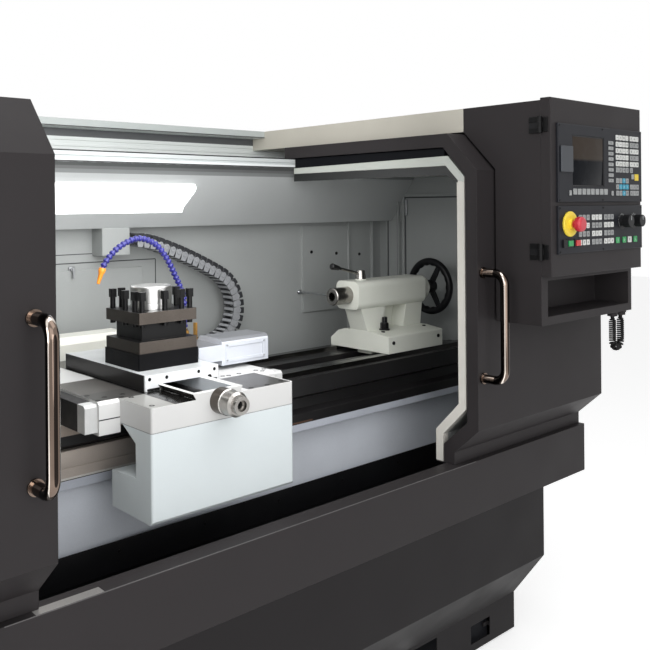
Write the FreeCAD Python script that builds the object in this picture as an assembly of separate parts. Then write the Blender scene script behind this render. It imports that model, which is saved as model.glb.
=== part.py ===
"""Flat-bed turning lathe with a full sheet-metal enclosure, in millimetres.

Design frame: +X along the bed to the tailstock end, +Y to the back, +Z up, floor at Z = 0.
Every piece is modelled in that frame and then moved along Y so that the machine stands
centred on the origin.
"""
import FreeCAD, Part
import math
import os

Vec = FreeCAD.Vector
X_AXIS = Vec(1, 0, 0)
Y_AXIS = Vec(0, 1, 0)
Z_AXIS = Vec(0, 0, 1)

# ---------------------------------------------------------------- driving dimensions
LENGTH = 2620.0               # enclosure, end to end
OPENING = 1252.0              # clear width between the open doors
SHEET = 3.0                   # cabinet sheet
GAP = 0.3                     # running gap between sliding faces
FIT = 0.05                    # radial clearance of shafts in their bores

# lower casing and chip tray
LEDGE_FRONT = -442.0
LEDGE_WIDTH = 52.0
LEDGE_TOP = 669.0
TRAY_BOTTOM = 509.0
CASING_HALF = 1055.0
CASING_KNEE = 288.0           # height where the casing slopes in
SKIRT_TOP = 129.0
SKIRT_FRONT = -324.0
SKIRT_BOTTOM = 10.0
REAR_SKIN = 640.0             # outer face of the enclosure's back

# sliding doors, section seen from the end
DOOR_FRONT = -508.0
DOOR_DEPTH = 40.0
DOOR_FOOT_FRONT = -421.0
DOOR_FOOT_TOP = 706.0
DOOR_FACE_LOW = 784.0
DOOR_FACE_HIGH = 1530.0
DOOR_TOP_FRONT = -402.0
DOOR_TOP = 1641.0
DOOR_TOP_BACK = 345.0
HANDLE_TUBE = 12.5            # radius
HANDLE_SPAN = 303.0
HANDLE_MID = 1084.0
HANDLE_STAND = 76.0
HANDLE_INSETS = (42.0, 24.0)    # left and right pull, from the door's inner edge

# fixed frame behind the doors
FRAME_FOOT_FRONT = -374.0
FRAME_FOOT_TOP = 750.0
FRAME_FRONT = -460.0
FRAME_LOW = 838.0
FRAME_HIGH = 1512.0
FRAME_TOP_FRONT = -400.0
FRAME_TOP = 1545.0
FRAME_FLANGE = 27.0
INNER_WALL = 520.0            # front face of the rear wall

# bed
AXIS_Y = 124.0                # spindle line
BED_TOP = 922.0
CENTRE_HEIGHT = 196.0
BED_HALF = 174.0
BED_BOTTOM = 748.0
BED_END = 1230.0
WAY_DEPTH = 135.0             # front-to-back size of each way
WAY_FLAT = 14.0

# carriage
SADDLE_X = -123.0
SADDLE_WIDTH = 412.0
SADDLE_WING = 54.0
SADDLE_TOP = 983.0
SADDLE_FRONT = -334.0
WING_FRONT = -193.0
SADDLE_BACK = 352.0
WIPER = 32.0
APRON_BOTTOM = 720.0
APRON_TOP = 927.0

# cross slide and turret
DOVETAIL_FOOT = (-210.0, -84.0)
DOVETAIL_FLARE = 8.0          # how far each flank leans out, foot to top
DOVETAIL_TOP = 997.0
TROUGH = (-206.0, -96.0)      # open channel of the cross screw in the dovetail
TROUGH_FLOOR = 946.0
FRONT_WALL = 16.0
SLIDE_X = -147.0
SLIDE_WIDTH = 214.0
SLIDE_FRONT = -180.0
SLIDE_BACK = 255.0
SLIDE_TOP = 1022.5
SLIDE_SCREWS = ((-242.0, 1012.0), (-194.0, 1011.0), (-100.0, 1012.0), (-52.0, 1012.0))
GIB_SCREW = (-67.0, 994.0)
SERVO_LEFT = -233.0
SERVO_RIGHT = -15.0
CROSS_SCREW_X = -141.0
CROSS_SCREW_Z = 972.0
CROSS_SCREW_R = 10.0
TURRET_X = -150.6
TURRET_Y = -35.1
TURRET_SIZE = 171.4
TURRET_PLATE = 29.4
TURRET_BASE_TOP = 1063.7
TURRET_HEAD_TOP = 1166.6
TURRET_POST_R = 29.0
TURRET_CAP_R = 53.4
TURRET_CAP_TOP = 1226.3
TOOL_SCREW_TOP = 1217.5
BRACKET_RIGHT = 35.5
BRACKET_TOP = 1053.0
BOX_SIDE = 196.0              # right end of the junction box
BOX_LOW = 995.0
BOX_HIGH = 1067.5

# spindle and chuck
NOSE_X = -660.0
HEADSTOCK_FRONT = -690.0
HEADSTOCK_BACK = -1225.0
SPINDLE_R = 45.0
SPINDLE_BORE_R = 26.0
CHUCK_R = 100.0
CHUCK_LENGTH = 95.0
JAW_WIDTH = 24.0
JAW_REST = 34.0               # inner face of each jaw from the axis
PULLEY_R = 80.0
MOTOR_PULLEY_R = 50.0
MOTOR_Y = 405.0
MOTOR_Z = 690.0
MOTOR_R = 76.0

# longitudinal screw, between the ways
LONG_SCREW_R = 14.0
LONG_SCREW_Z = 884.0

# tailstock
TAIL_LEFT = 775.0
TAIL_RIGHT = 1060.0
TAIL_BASE_TOP = 981.0
BARREL_LEFT = 721.0
BARREL_RIGHT = 1072.0
BARREL_WIDTH = 112.0
BARREL_HEIGHT = 98.0
QUILL_R = 30.0
QUILL_NOSE = 647.0
QUILL_SOCKET_R = 15.6
WHEEL_X = 1164.0
WHEEL_R = 98.0
WHEEL_RIM = 10.5

# operator station
BOX_LEFT = 704.0
BOX_RIGHT = 1213.0
BOX_FRONT = -668.0
BOX_BOTTOM = 1092.0
BOX_TOP = 1719.0
PANEL_BOTTOM = 1229.0
PANEL_TOP = 1725.0
PANEL_FRONT = -701.0
SHELF = (735.0, 1194.0, 1115.0, 1216.0)
SHELF_DEPTH = 118.0
UNIT_LEFT = 729.0
UNIT_RIGHT = 1207.0
UNIT_PROUD = 8.0
UPPER_UNIT = (1435.0, 1655.0)
LOWER_UNIT = (1291.0, 1425.0)
SCREEN = (801.0, 976.0, 1479.0, 1625.0)
ESTOP = (783.0, 1374.0)
START_KEY = (782.0, 1320.0)
STOP_KEY = (821.0, 1320.0)
KNOBS = ((1078.0, 1377.0), (1150.0, 1377.0))
CORD_R = 12.5
CORD_LEGS = (1144.0, 1194.0)
CORD_Y = -640.0
CORD_DROP = 963.0

# roof, lamp and back
RAIL_FRONT = 300.0
RAIL_WIDTH = 52.0
ROOF_Z = 1566.0
LAMP_FOOT_Y = 455.0
LAMP_FOOT_Z = 1365.0
BEAM_LIP_Y = REAR_SKIN - 80
BEAM_BACK = REAR_SKIN + 68
BEAM_LIP = 25.0
CABINET_HALF = 620.0
CABINET_LOW = 600.0
CABINET_HIGH = 1560.0
CABINET_DEPTH = 180.0
CABINET_DOOR = 16.0

# ---------------------------------------------------------------- derived places
HALF = LENGTH / 2
DOOR_X = OPENING / 2
AXIS_Z = BED_TOP + CENTRE_HEIGHT
SADDLE_LEFT = SADDLE_X - SADDLE_WIDTH / 2
SADDLE_RIGHT = SADDLE_X + SADDLE_WIDTH / 2
SLIDE_LEFT = SLIDE_X - SLIDE_WIDTH / 2
SLIDE_RIGHT = SLIDE_X + SLIDE_WIDTH / 2
FRONT_EXTENT = PANEL_FRONT - UNIT_PROUD - 44.0
BACK_EXTENT = REAR_SKIN + CABINET_DEPTH + CABINET_DOOR + 30.0
SHIFT = Vec(0, -(FRONT_EXTENT + BACK_EXTENT) / 2, 0)

DOOR_PROFILE = [(DOOR_FOOT_FRONT, LEDGE_TOP + GAP), (DOOR_FOOT_FRONT, DOOR_FOOT_TOP),
                (DOOR_FRONT, DOOR_FACE_LOW), (DOOR_FRONT, DOOR_FACE_HIGH),
                (DOOR_TOP_FRONT, DOOR_TOP), (DOOR_TOP_BACK, DOOR_TOP)]
FRAME_PROFILE = [(FRAME_FOOT_FRONT, LEDGE_TOP), (FRAME_FOOT_FRONT, FRAME_FOOT_TOP),
                 (FRAME_FRONT, FRAME_LOW), (FRAME_FRONT, FRAME_HIGH),
                 (FRAME_TOP_FRONT, FRAME_TOP), (RAIL_FRONT, FRAME_TOP)]

nodes = {}


# ---------------------------------------------------------------- helpers
def block(x0, x1, y0, y1, z0, z1):
    """Rectangular solid between two corners."""
    return Part.makeBox(x1 - x0, y1 - y0, z1 - z0, Vec(x0, y0, z0))


def prism_x(points, x0, x1):
    """Solid from a closed (y, z) outline, run along X."""
    wire = Part.makePolygon([Vec(x0, y, z) for y, z in points] + [Vec(x0, *points[0])])
    return Part.Face(wire).extrude(Vec(x1 - x0, 0, 0))


def prism_y(points, y0, y1):
    """Solid from a closed (x, z) outline, run along Y."""
    ring = [Vec(x, y0, z) for x, z in points]
    return Part.Face(Part.makePolygon(ring + ring[:1])).extrude(Vec(0, y1 - y0, 0))


def prism_z(points, z0, z1):
    """Solid from a closed (x, y) outline, run along Z."""
    ring = [Vec(x, y, z0) for x, y in points]
    return Part.Face(Part.makePolygon(ring + ring[:1])).extrude(Vec(0, 0, z1 - z0))


def rod(x, y, z, radius, length, axis):
    """Cylinder that starts at a point and runs along an axis."""
    return Part.makeCylinder(radius, length, Vec(x, y, z), axis)


def tube(x, y, z, outer, inner, length, axis):
    """Plain ring or bush."""
    return rod(x, y, z, outer, length, axis).cut(rod(x, y, z, inner, length, axis))


def join(*shapes):
    """One solid from pieces that overlap or touch."""
    return shapes[0].multiFuse(list(shapes[1:])).removeSplitter()


def offset_line(points, depth):
    """Open (y, z) line moved to its inner side by a depth, with mitred corners."""
    moved = []
    for i, (y, z) in enumerate(points):
        before = points[max(i - 1, 0)]
        after = points[min(i + 1, len(points) - 1)]
        normals = []
        for a, b in ((before, (y, z)), ((y, z), after)):
            run = math.hypot(b[0] - a[0], b[1] - a[1])
            if run > 0:
                normals.append(((b[1] - a[1]) / run, -(b[0] - a[0]) / run))
        ny = sum(n[0] for n in normals)
        nz = sum(n[1] for n in normals)
        size = ny * normals[0][0] + nz * normals[0][1]
        moved.append((y + ny * depth / size, z + nz * depth / size))
    return moved


def band(points, depth, x0, x1, start=0.0):
    """Sheet of a given depth that follows an open (y, z) line, run along X."""
    outer = offset_line(points, start) if start else points
    return prism_x(outer + offset_line(points, start + depth)[::-1], x0, x1)


def along(shape, axis):
    """Edges of a shape that run along one axis."""
    picked = []
    for edge in shape.Edges:
        if len(edge.Vertexes) == 2 and isinstance(edge.Curve, Part.Line):
            if abs(abs(edge.tangentAt(edge.FirstParameter).dot(axis)) - 1) < 1e-6:
                picked.append(edge)
    return picked


def rounded_block(x0, x1, y0, y1, z0, z1, radius, axis):
    """Rectangular solid with the four edges along one axis rounded."""
    shape = block(x0, x1, y0, y1, z0, z1)
    return shape.makeFillet(radius, along(shape, axis))


def bent_tube(points, radius, bend):
    """Tube through points, with every corner an arc of one radius."""
    path = rounded_path(points, [bend] * (len(points) - 2))
    first = (points[1] - points[0]).normalize()
    section = Part.Wire(Part.makeCircle(radius, points[0], first))
    return path.makePipeShell([section], True, True)


def rounded_path(points, radii):
    """Wire of straight runs joined by tangent arcs."""
    edges = []
    last = points[0]
    for i, radius in enumerate(radii):
        corner = points[i + 1]
        to_last = (points[i] - corner).normalize()
        to_next = (points[i + 2] - corner).normalize()
        half = to_last.getAngle(to_next) / 2
        reach = radius / math.tan(half)
        enter = corner + to_last * reach
        leave = corner + to_next * reach
        centre = corner + (to_last + to_next).normalize() * (radius / math.sin(half))
        middle = centre + (corner - centre).normalize() * radius
        if (enter - last).Length > 1e-4:
            edges.append(Part.LineSegment(last, enter).toShape())
        edges.append(Part.Arc(enter, middle, leave).toShape())
        last = leave
    edges.append(Part.LineSegment(last, points[-1]).toShape())
    return Part.Wire(edges)


def keep(name, shape):
    """Register one sub-part."""
    nodes[name] = shape


# ---------------------------------------------------------------- lower casing
def base_casing():
    """Folded lower casing, open below, with foot brackets and fork pockets."""
    outline = [(LEDGE_FRONT, TRAY_BOTTOM), (LEDGE_FRONT, CASING_KNEE), (SKIRT_FRONT, SKIRT_TOP),
               (SKIRT_FRONT, SKIRT_BOTTOM)]
    outer = outline + [(REAR_SKIN, SKIRT_BOTTOM), (REAR_SKIN, TRAY_BOTTOM)]
    inner = offset_line(outline, -SHEET) + [(REAR_SKIN - SHEET, SKIRT_BOTTOM),
                                           (REAR_SKIN - SHEET, TRAY_BOTTOM)]
    inner[0] = (inner[0][0], TRAY_BOTTOM)
    shell = prism_x(outer, -CASING_HALF, CASING_HALF)
    shell = shell.cut(prism_x(inner, -CASING_HALF + SHEET, CASING_HALF - SHEET))
    parts = [shell]
    for x in (-CASING_HALF / 3, CASING_HALF / 3):
        parts.append(prism_x(outer, x - SHEET / 2, x + SHEET / 2))
    for x in FOOT_XS:
        for y in FOOT_YS:
            parts.append(block(x - 60, x + 60, y - 40, y + 40, FOOT_PLATE, FOOT_PLATE + 12))
            side = SKIRT_FRONT + 1 if y < 100 else y + 40
            back = y - 40 if y < 100 else REAR_SKIN - 1
            parts.append(block(x - 60, x + 60, side, back, FOOT_PLATE, FOOT_PLATE + 12))
    shell = join(*parts)
    for sign in (-1, 1):
        for x0, x1, z0, z1, through in ((820, 920, 34, 92, 10),
                                        (520, 655, 0, 118, REAR_SKIN - SKIRT_FRONT + 5)):
            lo, hi = sorted((sign * x0, sign * x1))
            shell = shell.cut(block(lo, hi, SKIRT_FRONT - 5, SKIRT_FRONT + through, z0, z1))
    for x in FOOT_XS:
        for y in FOOT_YS:
            shell = shell.cut(rod(x, y, FOOT_PLATE - 1, FOOT_STEM_R, 20, Z_AXIS))
    keep("base_casing", shell)


FOOT_XS = (-960.0, 0.0, 960.0)
FOOT_YS = (-265.0, 575.0)
FOOT_PLATE = 60.0
FOOT_STEM_R = 12.0


def leveling_feet():
    """Six screw feet, each with its pad, stem and two lock nuts."""
    feet = []
    for x in FOOT_XS:
        for y in FOOT_YS:
            pad = Part.makeCone(42, 36, 14, Vec(x, y, 0), Z_AXIS)
            stem = rod(x, y, 10, FOOT_STEM_R, 96, Z_AXIS)
            lower = hexagon(x, y, FOOT_PLATE - 14, 20, 14)
            upper = hexagon(x, y, FOOT_PLATE + 12, 20, 14)
            feet.append(join(pad, stem, lower, upper))
    keep("leveling_feet", Part.makeCompound(feet))


def hexagon(x, y, z, radius, height):
    """Nut blank with a vertical axis."""
    ring = [(x + radius * math.cos(math.pi * k / 3), y + radius * math.sin(math.pi * k / 3))
            for k in range(6)]
    return prism_z(ring, z, z + height)


def chip_tray():
    """Tray with its overhanging front band, ledge and side flanges."""
    back = LEDGE_FRONT + LEDGE_WIDTH
    floor = block(-HALF, HALF, back, REAR_SKIN, TRAY_BOTTOM, TRAY_BOTTOM + SHEET)
    front = block(-HALF, HALF, LEDGE_FRONT, LEDGE_FRONT + SHEET, TRAY_BOTTOM, LEDGE_TOP)
    top = block(-HALF, HALF, LEDGE_FRONT, back, LEDGE_TOP - SHEET, LEDGE_TOP)
    inner = block(-HALF, HALF, back - SHEET, back, TRAY_BOTTOM, LEDGE_TOP)
    drip = block(-HALF, HALF, LEDGE_FRONT, LEDGE_FRONT + 18, TRAY_BOTTOM, TRAY_BOTTOM + SHEET)
    parts = [floor, front, top, inner, drip]
    parts.append(block(-HALF, HALF, REAR_SKIN - SHEET, REAR_SKIN, TRAY_BOTTOM, LEDGE_TOP))
    for sign in (-1, 1):
        lo, hi = sorted((sign * (HALF - SHEET), sign * HALF))
        parts.append(block(lo, hi, LEDGE_FRONT, REAR_SKIN, TRAY_BOTTOM, LEDGE_TOP))
        lo, hi = sorted((sign * (HALF - 40), sign * HALF))
        parts.append(block(lo, hi, back, INNER_WALL, LEDGE_TOP - SHEET, LEDGE_TOP))
        lo, hi = sorted((sign * DOOR_X, sign * HALF))
        parts.append(block(lo, hi, back, FRAME_FOOT_FRONT + 20, LEDGE_TOP - SHEET, LEDGE_TOP))
    keep("chip_tray", join(*parts))


def bed_support():
    """Welded pedestal between the tray and the bed, with chip windows at the back."""
    front = AXIS_Y - BED_HALF + 50
    back = AXIS_Y + BED_HALF - 50
    low = TRAY_BOTTOM + SHEET
    walls = [block(-BED_END + 40, BED_END - 40, front, front + 12, low, BED_BOTTOM),
             block(-BED_END + 40, BED_END - 40, back - 12, back, low, BED_BOTTOM)]
    for x in (-BED_END + 40, -620, 0, 620, BED_END - 52):
        walls.append(block(x, x + 12, front, back, low, BED_BOTTOM))
    shape = join(*walls)
    for x in (-560, 60, 680):
        window = rounded_block(x, x + 500, back - 20, back + 5, low + 50, BED_BOTTOM - 50, 20, Y_AXIS)
        shape = shape.cut(window)
    keep("bed_support", shape)


# ---------------------------------------------------------------- bed and headstock
def way_outline(mirror):
    """Section of one way, front or back."""
    front = AXIS_Y - BED_HALF
    points = [(front, BED_BOTTOM), (front, BED_BOTTOM + 52), (front + 22, BED_BOTTOM + 64),
              (front + 22, BED_BOTTOM + 94), (front, BED_BOTTOM + 106), (front, BED_TOP - WAY_FLAT),
              (front + 16, BED_TOP - WAY_FLAT), (front + 30, BED_TOP), (front + 60, BED_TOP),
              (front + 74, BED_TOP - WAY_FLAT), (front + WAY_DEPTH, BED_TOP - WAY_FLAT),
              (front + WAY_DEPTH, BED_BOTTOM)]
    if mirror:
        points = [(2 * AXIS_Y - y, z) for y, z in points]
    return points


def bed():
    """Cast bed: two ways tied by cross ribs, with the longitudinal screw between them."""
    parts = [prism_x(way_outline(False), -BED_END, BED_END),
             prism_x(way_outline(True), -BED_END, BED_END)]
    inner = AXIS_Y - BED_HALF + WAY_DEPTH
    count = 9
    for i in range(count):
        x = -BED_END + 30 + i * (2 * BED_END - 84) / (count - 1)
        parts.append(block(x, x + 24, inner - 1, 2 * AXIS_Y - inner + 1, BED_BOTTOM, 838))
    keep("bed", join(*parts))


def headstock():
    """Cast head on the bed's left end, bored for the spindle."""
    front = AXIS_Y - BED_HALF + 8
    back = AXIS_Y + BED_HALF - 8
    outline = [(front, BED_TOP), (front, AXIS_Z + 40), (front + 60, AXIS_Z + 135),
               (back - 60, AXIS_Z + 135), (back, AXIS_Z + 60), (back, BED_TOP)]
    body = prism_x(outline, HEADSTOCK_BACK, HEADSTOCK_FRONT)
    boss = rod(HEADSTOCK_FRONT - 2, AXIS_Y, AXIS_Z, 92, 14, X_AXIS)
    ribs = [block(x, x + 14, front - 6, front + 4, BED_TOP + 30, AXIS_Z + 20)
            for x in (HEADSTOCK_BACK + 60, (HEADSTOCK_BACK + HEADSTOCK_FRONT) / 2,
                      HEADSTOCK_FRONT - 74)]
    body = join(body, boss, *ribs)
    bore = rod(HEADSTOCK_BACK - 5, AXIS_Y, AXIS_Z, SPINDLE_R + FIT,
               HEADSTOCK_FRONT - HEADSTOCK_BACK + 30, X_AXIS)
    keep("headstock", body.cut(bore))


def spindle():
    """Hollow spindle with its nose flange and rear belt pulley."""
    start = HEADSTOCK_BACK - 40
    shaft = rod(start, AXIS_Y, AXIS_Z, SPINDLE_R, NOSE_X - start, X_AXIS)
    flange = rod(HEADSTOCK_FRONT + 14, AXIS_Y, AXIS_Z, 78, NOSE_X - HEADSTOCK_FRONT - 14, X_AXIS)
    pulley = rod(HEADSTOCK_BACK - 34, AXIS_Y, AXIS_Z, PULLEY_R, 28, X_AXIS)
    lips = [rod(HEADSTOCK_BACK - 36, AXIS_Y, AXIS_Z, PULLEY_R + 7, 4, X_AXIS),
            rod(HEADSTOCK_BACK - 8, AXIS_Y, AXIS_Z, PULLEY_R + 7, 4, X_AXIS)]
    body = join(shaft, flange, pulley, *lips)
    keep("spindle", body.cut(rod(start - 5, AXIS_Y, AXIS_Z, SPINDLE_BORE_R, 700, X_AXIS)))


def chuck():
    """Three-jaw chuck: slotted body and three stepped jaws."""
    body = rod(NOSE_X, AXIS_Y, AXIS_Z, CHUCK_R, CHUCK_LENGTH, X_AXIS)
    rims = [edge for edge in body.Edges if isinstance(edge.Curve, Part.Circle)]
    body = body.makeChamfer(4, rims)
    body = body.cut(rod(NOSE_X - 1, AXIS_Y, AXIS_Z, SPINDLE_BORE_R, CHUCK_LENGTH + 2, X_AXIS))
    face = NOSE_X + CHUCK_LENGTH
    for k in range(3):
        slot = block(face - 26, face + 1, AXIS_Y - JAW_WIDTH / 2 - 0.2, AXIS_Y + JAW_WIDTH / 2 + 0.2,
                     AXIS_Z, AXIS_Z + CHUCK_R + 5)
        slot.rotate(Vec(0, AXIS_Y, AXIS_Z), X_AXIS, 120 * k)
        body = body.cut(slot)
        steps = [(face - 25.8, AXIS_Z + JAW_REST + 12), (face + 2, AXIS_Z + JAW_REST + 12),
                 (face + 2, AXIS_Z + JAW_REST), (face + 36, AXIS_Z + JAW_REST),
                 (face + 36, AXIS_Z + JAW_REST + 18), (face + 24, AXIS_Z + JAW_REST + 18),
                 (face + 24, AXIS_Z + JAW_REST + 38), (face + 12, AXIS_Z + JAW_REST + 38),
                 (face + 12, AXIS_Z + JAW_REST + 58), (face - 25.8, AXIS_Z + JAW_REST + 58)]
        jaw = prism_y(steps, AXIS_Y - JAW_WIDTH / 2, AXIS_Y + JAW_WIDTH / 2)
        jaw.rotate(Vec(0, AXIS_Y, AXIS_Z), X_AXIS, 120 * k)
        keep("chuck_jaw_%d" % (k + 1), jaw)
    keep("chuck_body", body)


def belt_outline(grow):
    """Closed loop round the two pulleys, in the belt's plane."""
    a = Vec(0, AXIS_Y, AXIS_Z)
    b = Vec(0, MOTOR_Y, MOTOR_Z)
    ra = PULLEY_R + grow
    rb = MOTOR_PULLEY_R + grow
    run = b - a
    heading = math.atan2(run.z, run.y)
    lean = math.acos((ra - rb) / run.Length)

    def at(centre, radius, angle):
        return centre + Vec(0, math.cos(angle), math.sin(angle)) * radius

    up, down = heading + lean, heading - lean
    edges = [Part.LineSegment(at(a, ra, up), at(b, rb, up)).toShape(),
             Part.Arc(at(b, rb, up), at(b, rb, heading), at(b, rb, down)).toShape(),
             Part.LineSegment(at(b, rb, down), at(a, ra, down)).toShape(),
             Part.Arc(at(a, ra, down), at(a, ra, heading + math.pi), at(a, ra, up)).toShape()]
    return Part.Face(Part.Wire(edges))


def spindle_drive():
    """Spindle motor on its bracket, its pulley and the belt."""
    plane = HEADSTOCK_BACK - 31
    belt = belt_outline(5.0).cut(belt_outline(GAP)).extrude(Vec(22, 0, 0))
    belt.translate(Vec(plane, 0, 0))
    keep("drive_belt", belt)
    front = HEADSTOCK_BACK + 20
    can = rod(front, MOTOR_Y, MOTOR_Z, MOTOR_R, 250, X_AXIS)
    flange = rounded_block(front - 14, front, MOTOR_Y - 80, MOTOR_Y + 80, MOTOR_Z - 80,
                           MOTOR_Z + 80, 16, X_AXIS)
    cap = rod(front + 250, MOTOR_Y, MOTOR_Z, MOTOR_R - 10, 34, X_AXIS)
    fins = [block(front + 10, front + 240, MOTOR_Y - 1.5 + 24 * k, MOTOR_Y + 1.5 + 24 * k,
                  MOTOR_Z + 30, MOTOR_Z + MOTOR_R + 6) for k in (-1, 0, 1)]
    low = TRAY_BOTTOM + SHEET
    stand = [block(front + 30, front + 220, MOTOR_Y - 70, MOTOR_Y + 70, low, low + 12),
             block(front + 50, front + 64, MOTOR_Y - 60, MOTOR_Y + 60, low + 12, MOTOR_Z - 40),
             block(front + 186, front + 200, MOTOR_Y - 60, MOTOR_Y + 60, low + 12, MOTOR_Z - 40)]
    body = join(can, flange, cap, *fins, *stand)
    body = body.cut(rod(front - 20, MOTOR_Y, MOTOR_Z, 14 + FIT, 80, X_AXIS))
    keep("spindle_motor", body)
    pulley = join(rod(plane - 3, MOTOR_Y, MOTOR_Z, MOTOR_PULLEY_R, 28, X_AXIS),
                  rod(plane - 5, MOTOR_Y, MOTOR_Z, MOTOR_PULLEY_R + 7, 4, X_AXIS),
                  rod(plane + 23, MOTOR_Y, MOTOR_Z, MOTOR_PULLEY_R + 7, 4, X_AXIS),
                  rod(plane - 5, MOTOR_Y, MOTOR_Z, 14, front + 55 - plane, X_AXIS))
    keep("motor_pulley", pulley)


def long_screw_drive():
    """Longitudinal ball screw, its end bearings and its servo motor."""
    inner = AXIS_Y - BED_HALF + WAY_DEPTH
    outer = 2 * AXIS_Y - inner
    left = HEADSTOCK_FRONT + 8
    right = BED_END - 40
    parts = []
    for x in (left, right):
        bearing = block(x, x + 26, inner, outer, 838, BED_TOP - WAY_FLAT - 2)
        parts.append(bearing.cut(rod(x - 1, AXIS_Y, LONG_SCREW_Z, LONG_SCREW_R - 4 + FIT, 30, X_AXIS)))
    motor_x = left - 190
    case = rounded_block(motor_x, motor_x + 150, AXIS_Y - 33, AXIS_Y + 33, LONG_SCREW_Z - 33,
                         LONG_SCREW_Z + 33, 8, X_AXIS)
    rail = block(motor_x, left + 26, inner, outer, 838, LONG_SCREW_Z - 33)
    parts[0] = join(parts[0], case, rail)
    parts[0] = parts[0].cut(rod(motor_x + 100, AXIS_Y, LONG_SCREW_Z, LONG_SCREW_R - 4 + FIT, 120, X_AXIS))
    keep("long_drive", Part.makeCompound(parts))
    screw = join(rod(left - 80, AXIS_Y, LONG_SCREW_Z, LONG_SCREW_R - 4, right - left + 110, X_AXIS),
                 rod(left + 28, AXIS_Y, LONG_SCREW_Z, LONG_SCREW_R, right - left - 30, X_AXIS))
    keep("long_screw", screw)


# ---------------------------------------------------------------- enclosure
def housing(sign):
    """Fixed front panel, flange, roof strip and end wall behind one door."""
    inner_x = DOOR_X + 5
    outer_x = HALF - 4
    lo, hi = (inner_x, outer_x) if sign > 0 else (-outer_x, -inner_x)
    skin = band(FRAME_PROFILE, SHEET, lo, hi)
    edge = (lo, lo + SHEET) if sign > 0 else (hi - SHEET, hi)
    flange = band(FRAME_PROFILE, FRAME_FLANGE, edge[0], edge[1])
    wall = (hi - SHEET, hi) if sign > 0 else (lo, lo + SHEET)
    side = FRAME_PROFILE + [(RAIL_FRONT, ROOF_Z - SHEET), (INNER_WALL, ROOF_Z - SHEET),
                            (INNER_WALL, LEDGE_TOP)]
    end = prism_x(side, *wall)
    fold = (wall[0] - 14, wall[0]) if sign > 0 else (wall[1], wall[1] + 14)
    post = block(fold[0], fold[1], 395, 470, LEDGE_TOP, LAMP_FOOT_Z - GAP)
    riser = block(lo, hi, RAIL_FRONT - SHEET, RAIL_FRONT, FRAME_TOP - SHEET, ROOF_Z - SHEET)
    keep("right_housing" if sign > 0 else "left_housing", join(skin, flange, end, post, riser))


def rear_enclosure():
    """Double-skinned back with its inner wall folds, access cover and cable box."""
    half = HALF - 4
    low = LEDGE_TOP
    top = ROOF_Z + 34
    parts = [block(-half, half, INNER_WALL, INNER_WALL + SHEET, TRAY_BOTTOM + SHEET, top),
             block(-half, half, REAR_SKIN - SHEET, REAR_SKIN, low, top),
             block(-half, half, INNER_WALL, REAR_SKIN, top - SHEET, top)]
    for x in (-half, -CABINET_HALF, CABINET_HALF, half - SHEET):
        parts.append(block(x, x + SHEET, INNER_WALL, REAR_SKIN, low, top))
    parts.append(block(852, 1099, INNER_WALL - 8, INNER_WALL + 1, 1010, 1350))
    parts.append(block(1099, 1106, INNER_WALL - 14, INNER_WALL + 1, LEDGE_TOP, LAMP_FOOT_Z))
    parts.append(block(1241, 1248, INNER_WALL - 14, INNER_WALL + 1, LEDGE_TOP, LAMP_FOOT_Z))
    parts.append(block(-1180, 140, INNER_WALL - 8, INNER_WALL + 1, 960, 1232))
    box = block(-38, 58, INNER_WALL - 70, INNER_WALL + 1, 1278, LAMP_FOOT_Z)
    parts.append(box)
    shell = join(*parts)
    for x in (-1150, 760):
        for k in range(8):
            z = 900 + 34 * k
            shell = shell.cut(block(x, x + 380, REAR_SKIN - 10, REAR_SKIN + 2, z, z + 10))
    keep("rear_enclosure", shell)


def lamp_panel():
    """Roof strip, sloping lamp panel and its return to the rear wall."""
    half = HALF - 4
    line = [(INNER_WALL, ROOF_Z), (RAIL_FRONT, ROOF_Z), (RAIL_FRONT + 22, ROOF_Z - 24),
            (LAMP_FOOT_Y, LAMP_FOOT_Z), (INNER_WALL, LAMP_FOOT_Z)]
    sheet = prism_x(line + offset_line(line, -SHEET)[::-1], -half + SHEET, half - SHEET)
    keep("lamp_panel", sheet)


def work_light():
    """Sealed lamp with a sloping diffuser, let into the panel's lower face."""
    run = (LAMP_FOOT_Y - RAIL_FRONT - 22, LAMP_FOOT_Z - ROOF_Z + 24)
    size = math.hypot(*run)
    along_y, along_z = run[0] / size, run[1] / size
    out_y, out_z = along_z, -along_y
    start, width, proud = 46.0, 112.0, 13.0

    def at(s, t):
        return (RAIL_FRONT + 22 + along_y * s + out_y * t, ROOF_Z - 24 + along_z * s + out_z * t)

    ring = [at(start, 0), at(start + 6, proud), at(start + width - 6, proud), at(start + width, 0)]
    lamp = prism_x(ring, -560, 245)
    lamp = lamp.cut(prism_y([(245, 1300), (245, 1480), (225, 1430)], 200, 600))
    keep("work_light", lamp)


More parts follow.
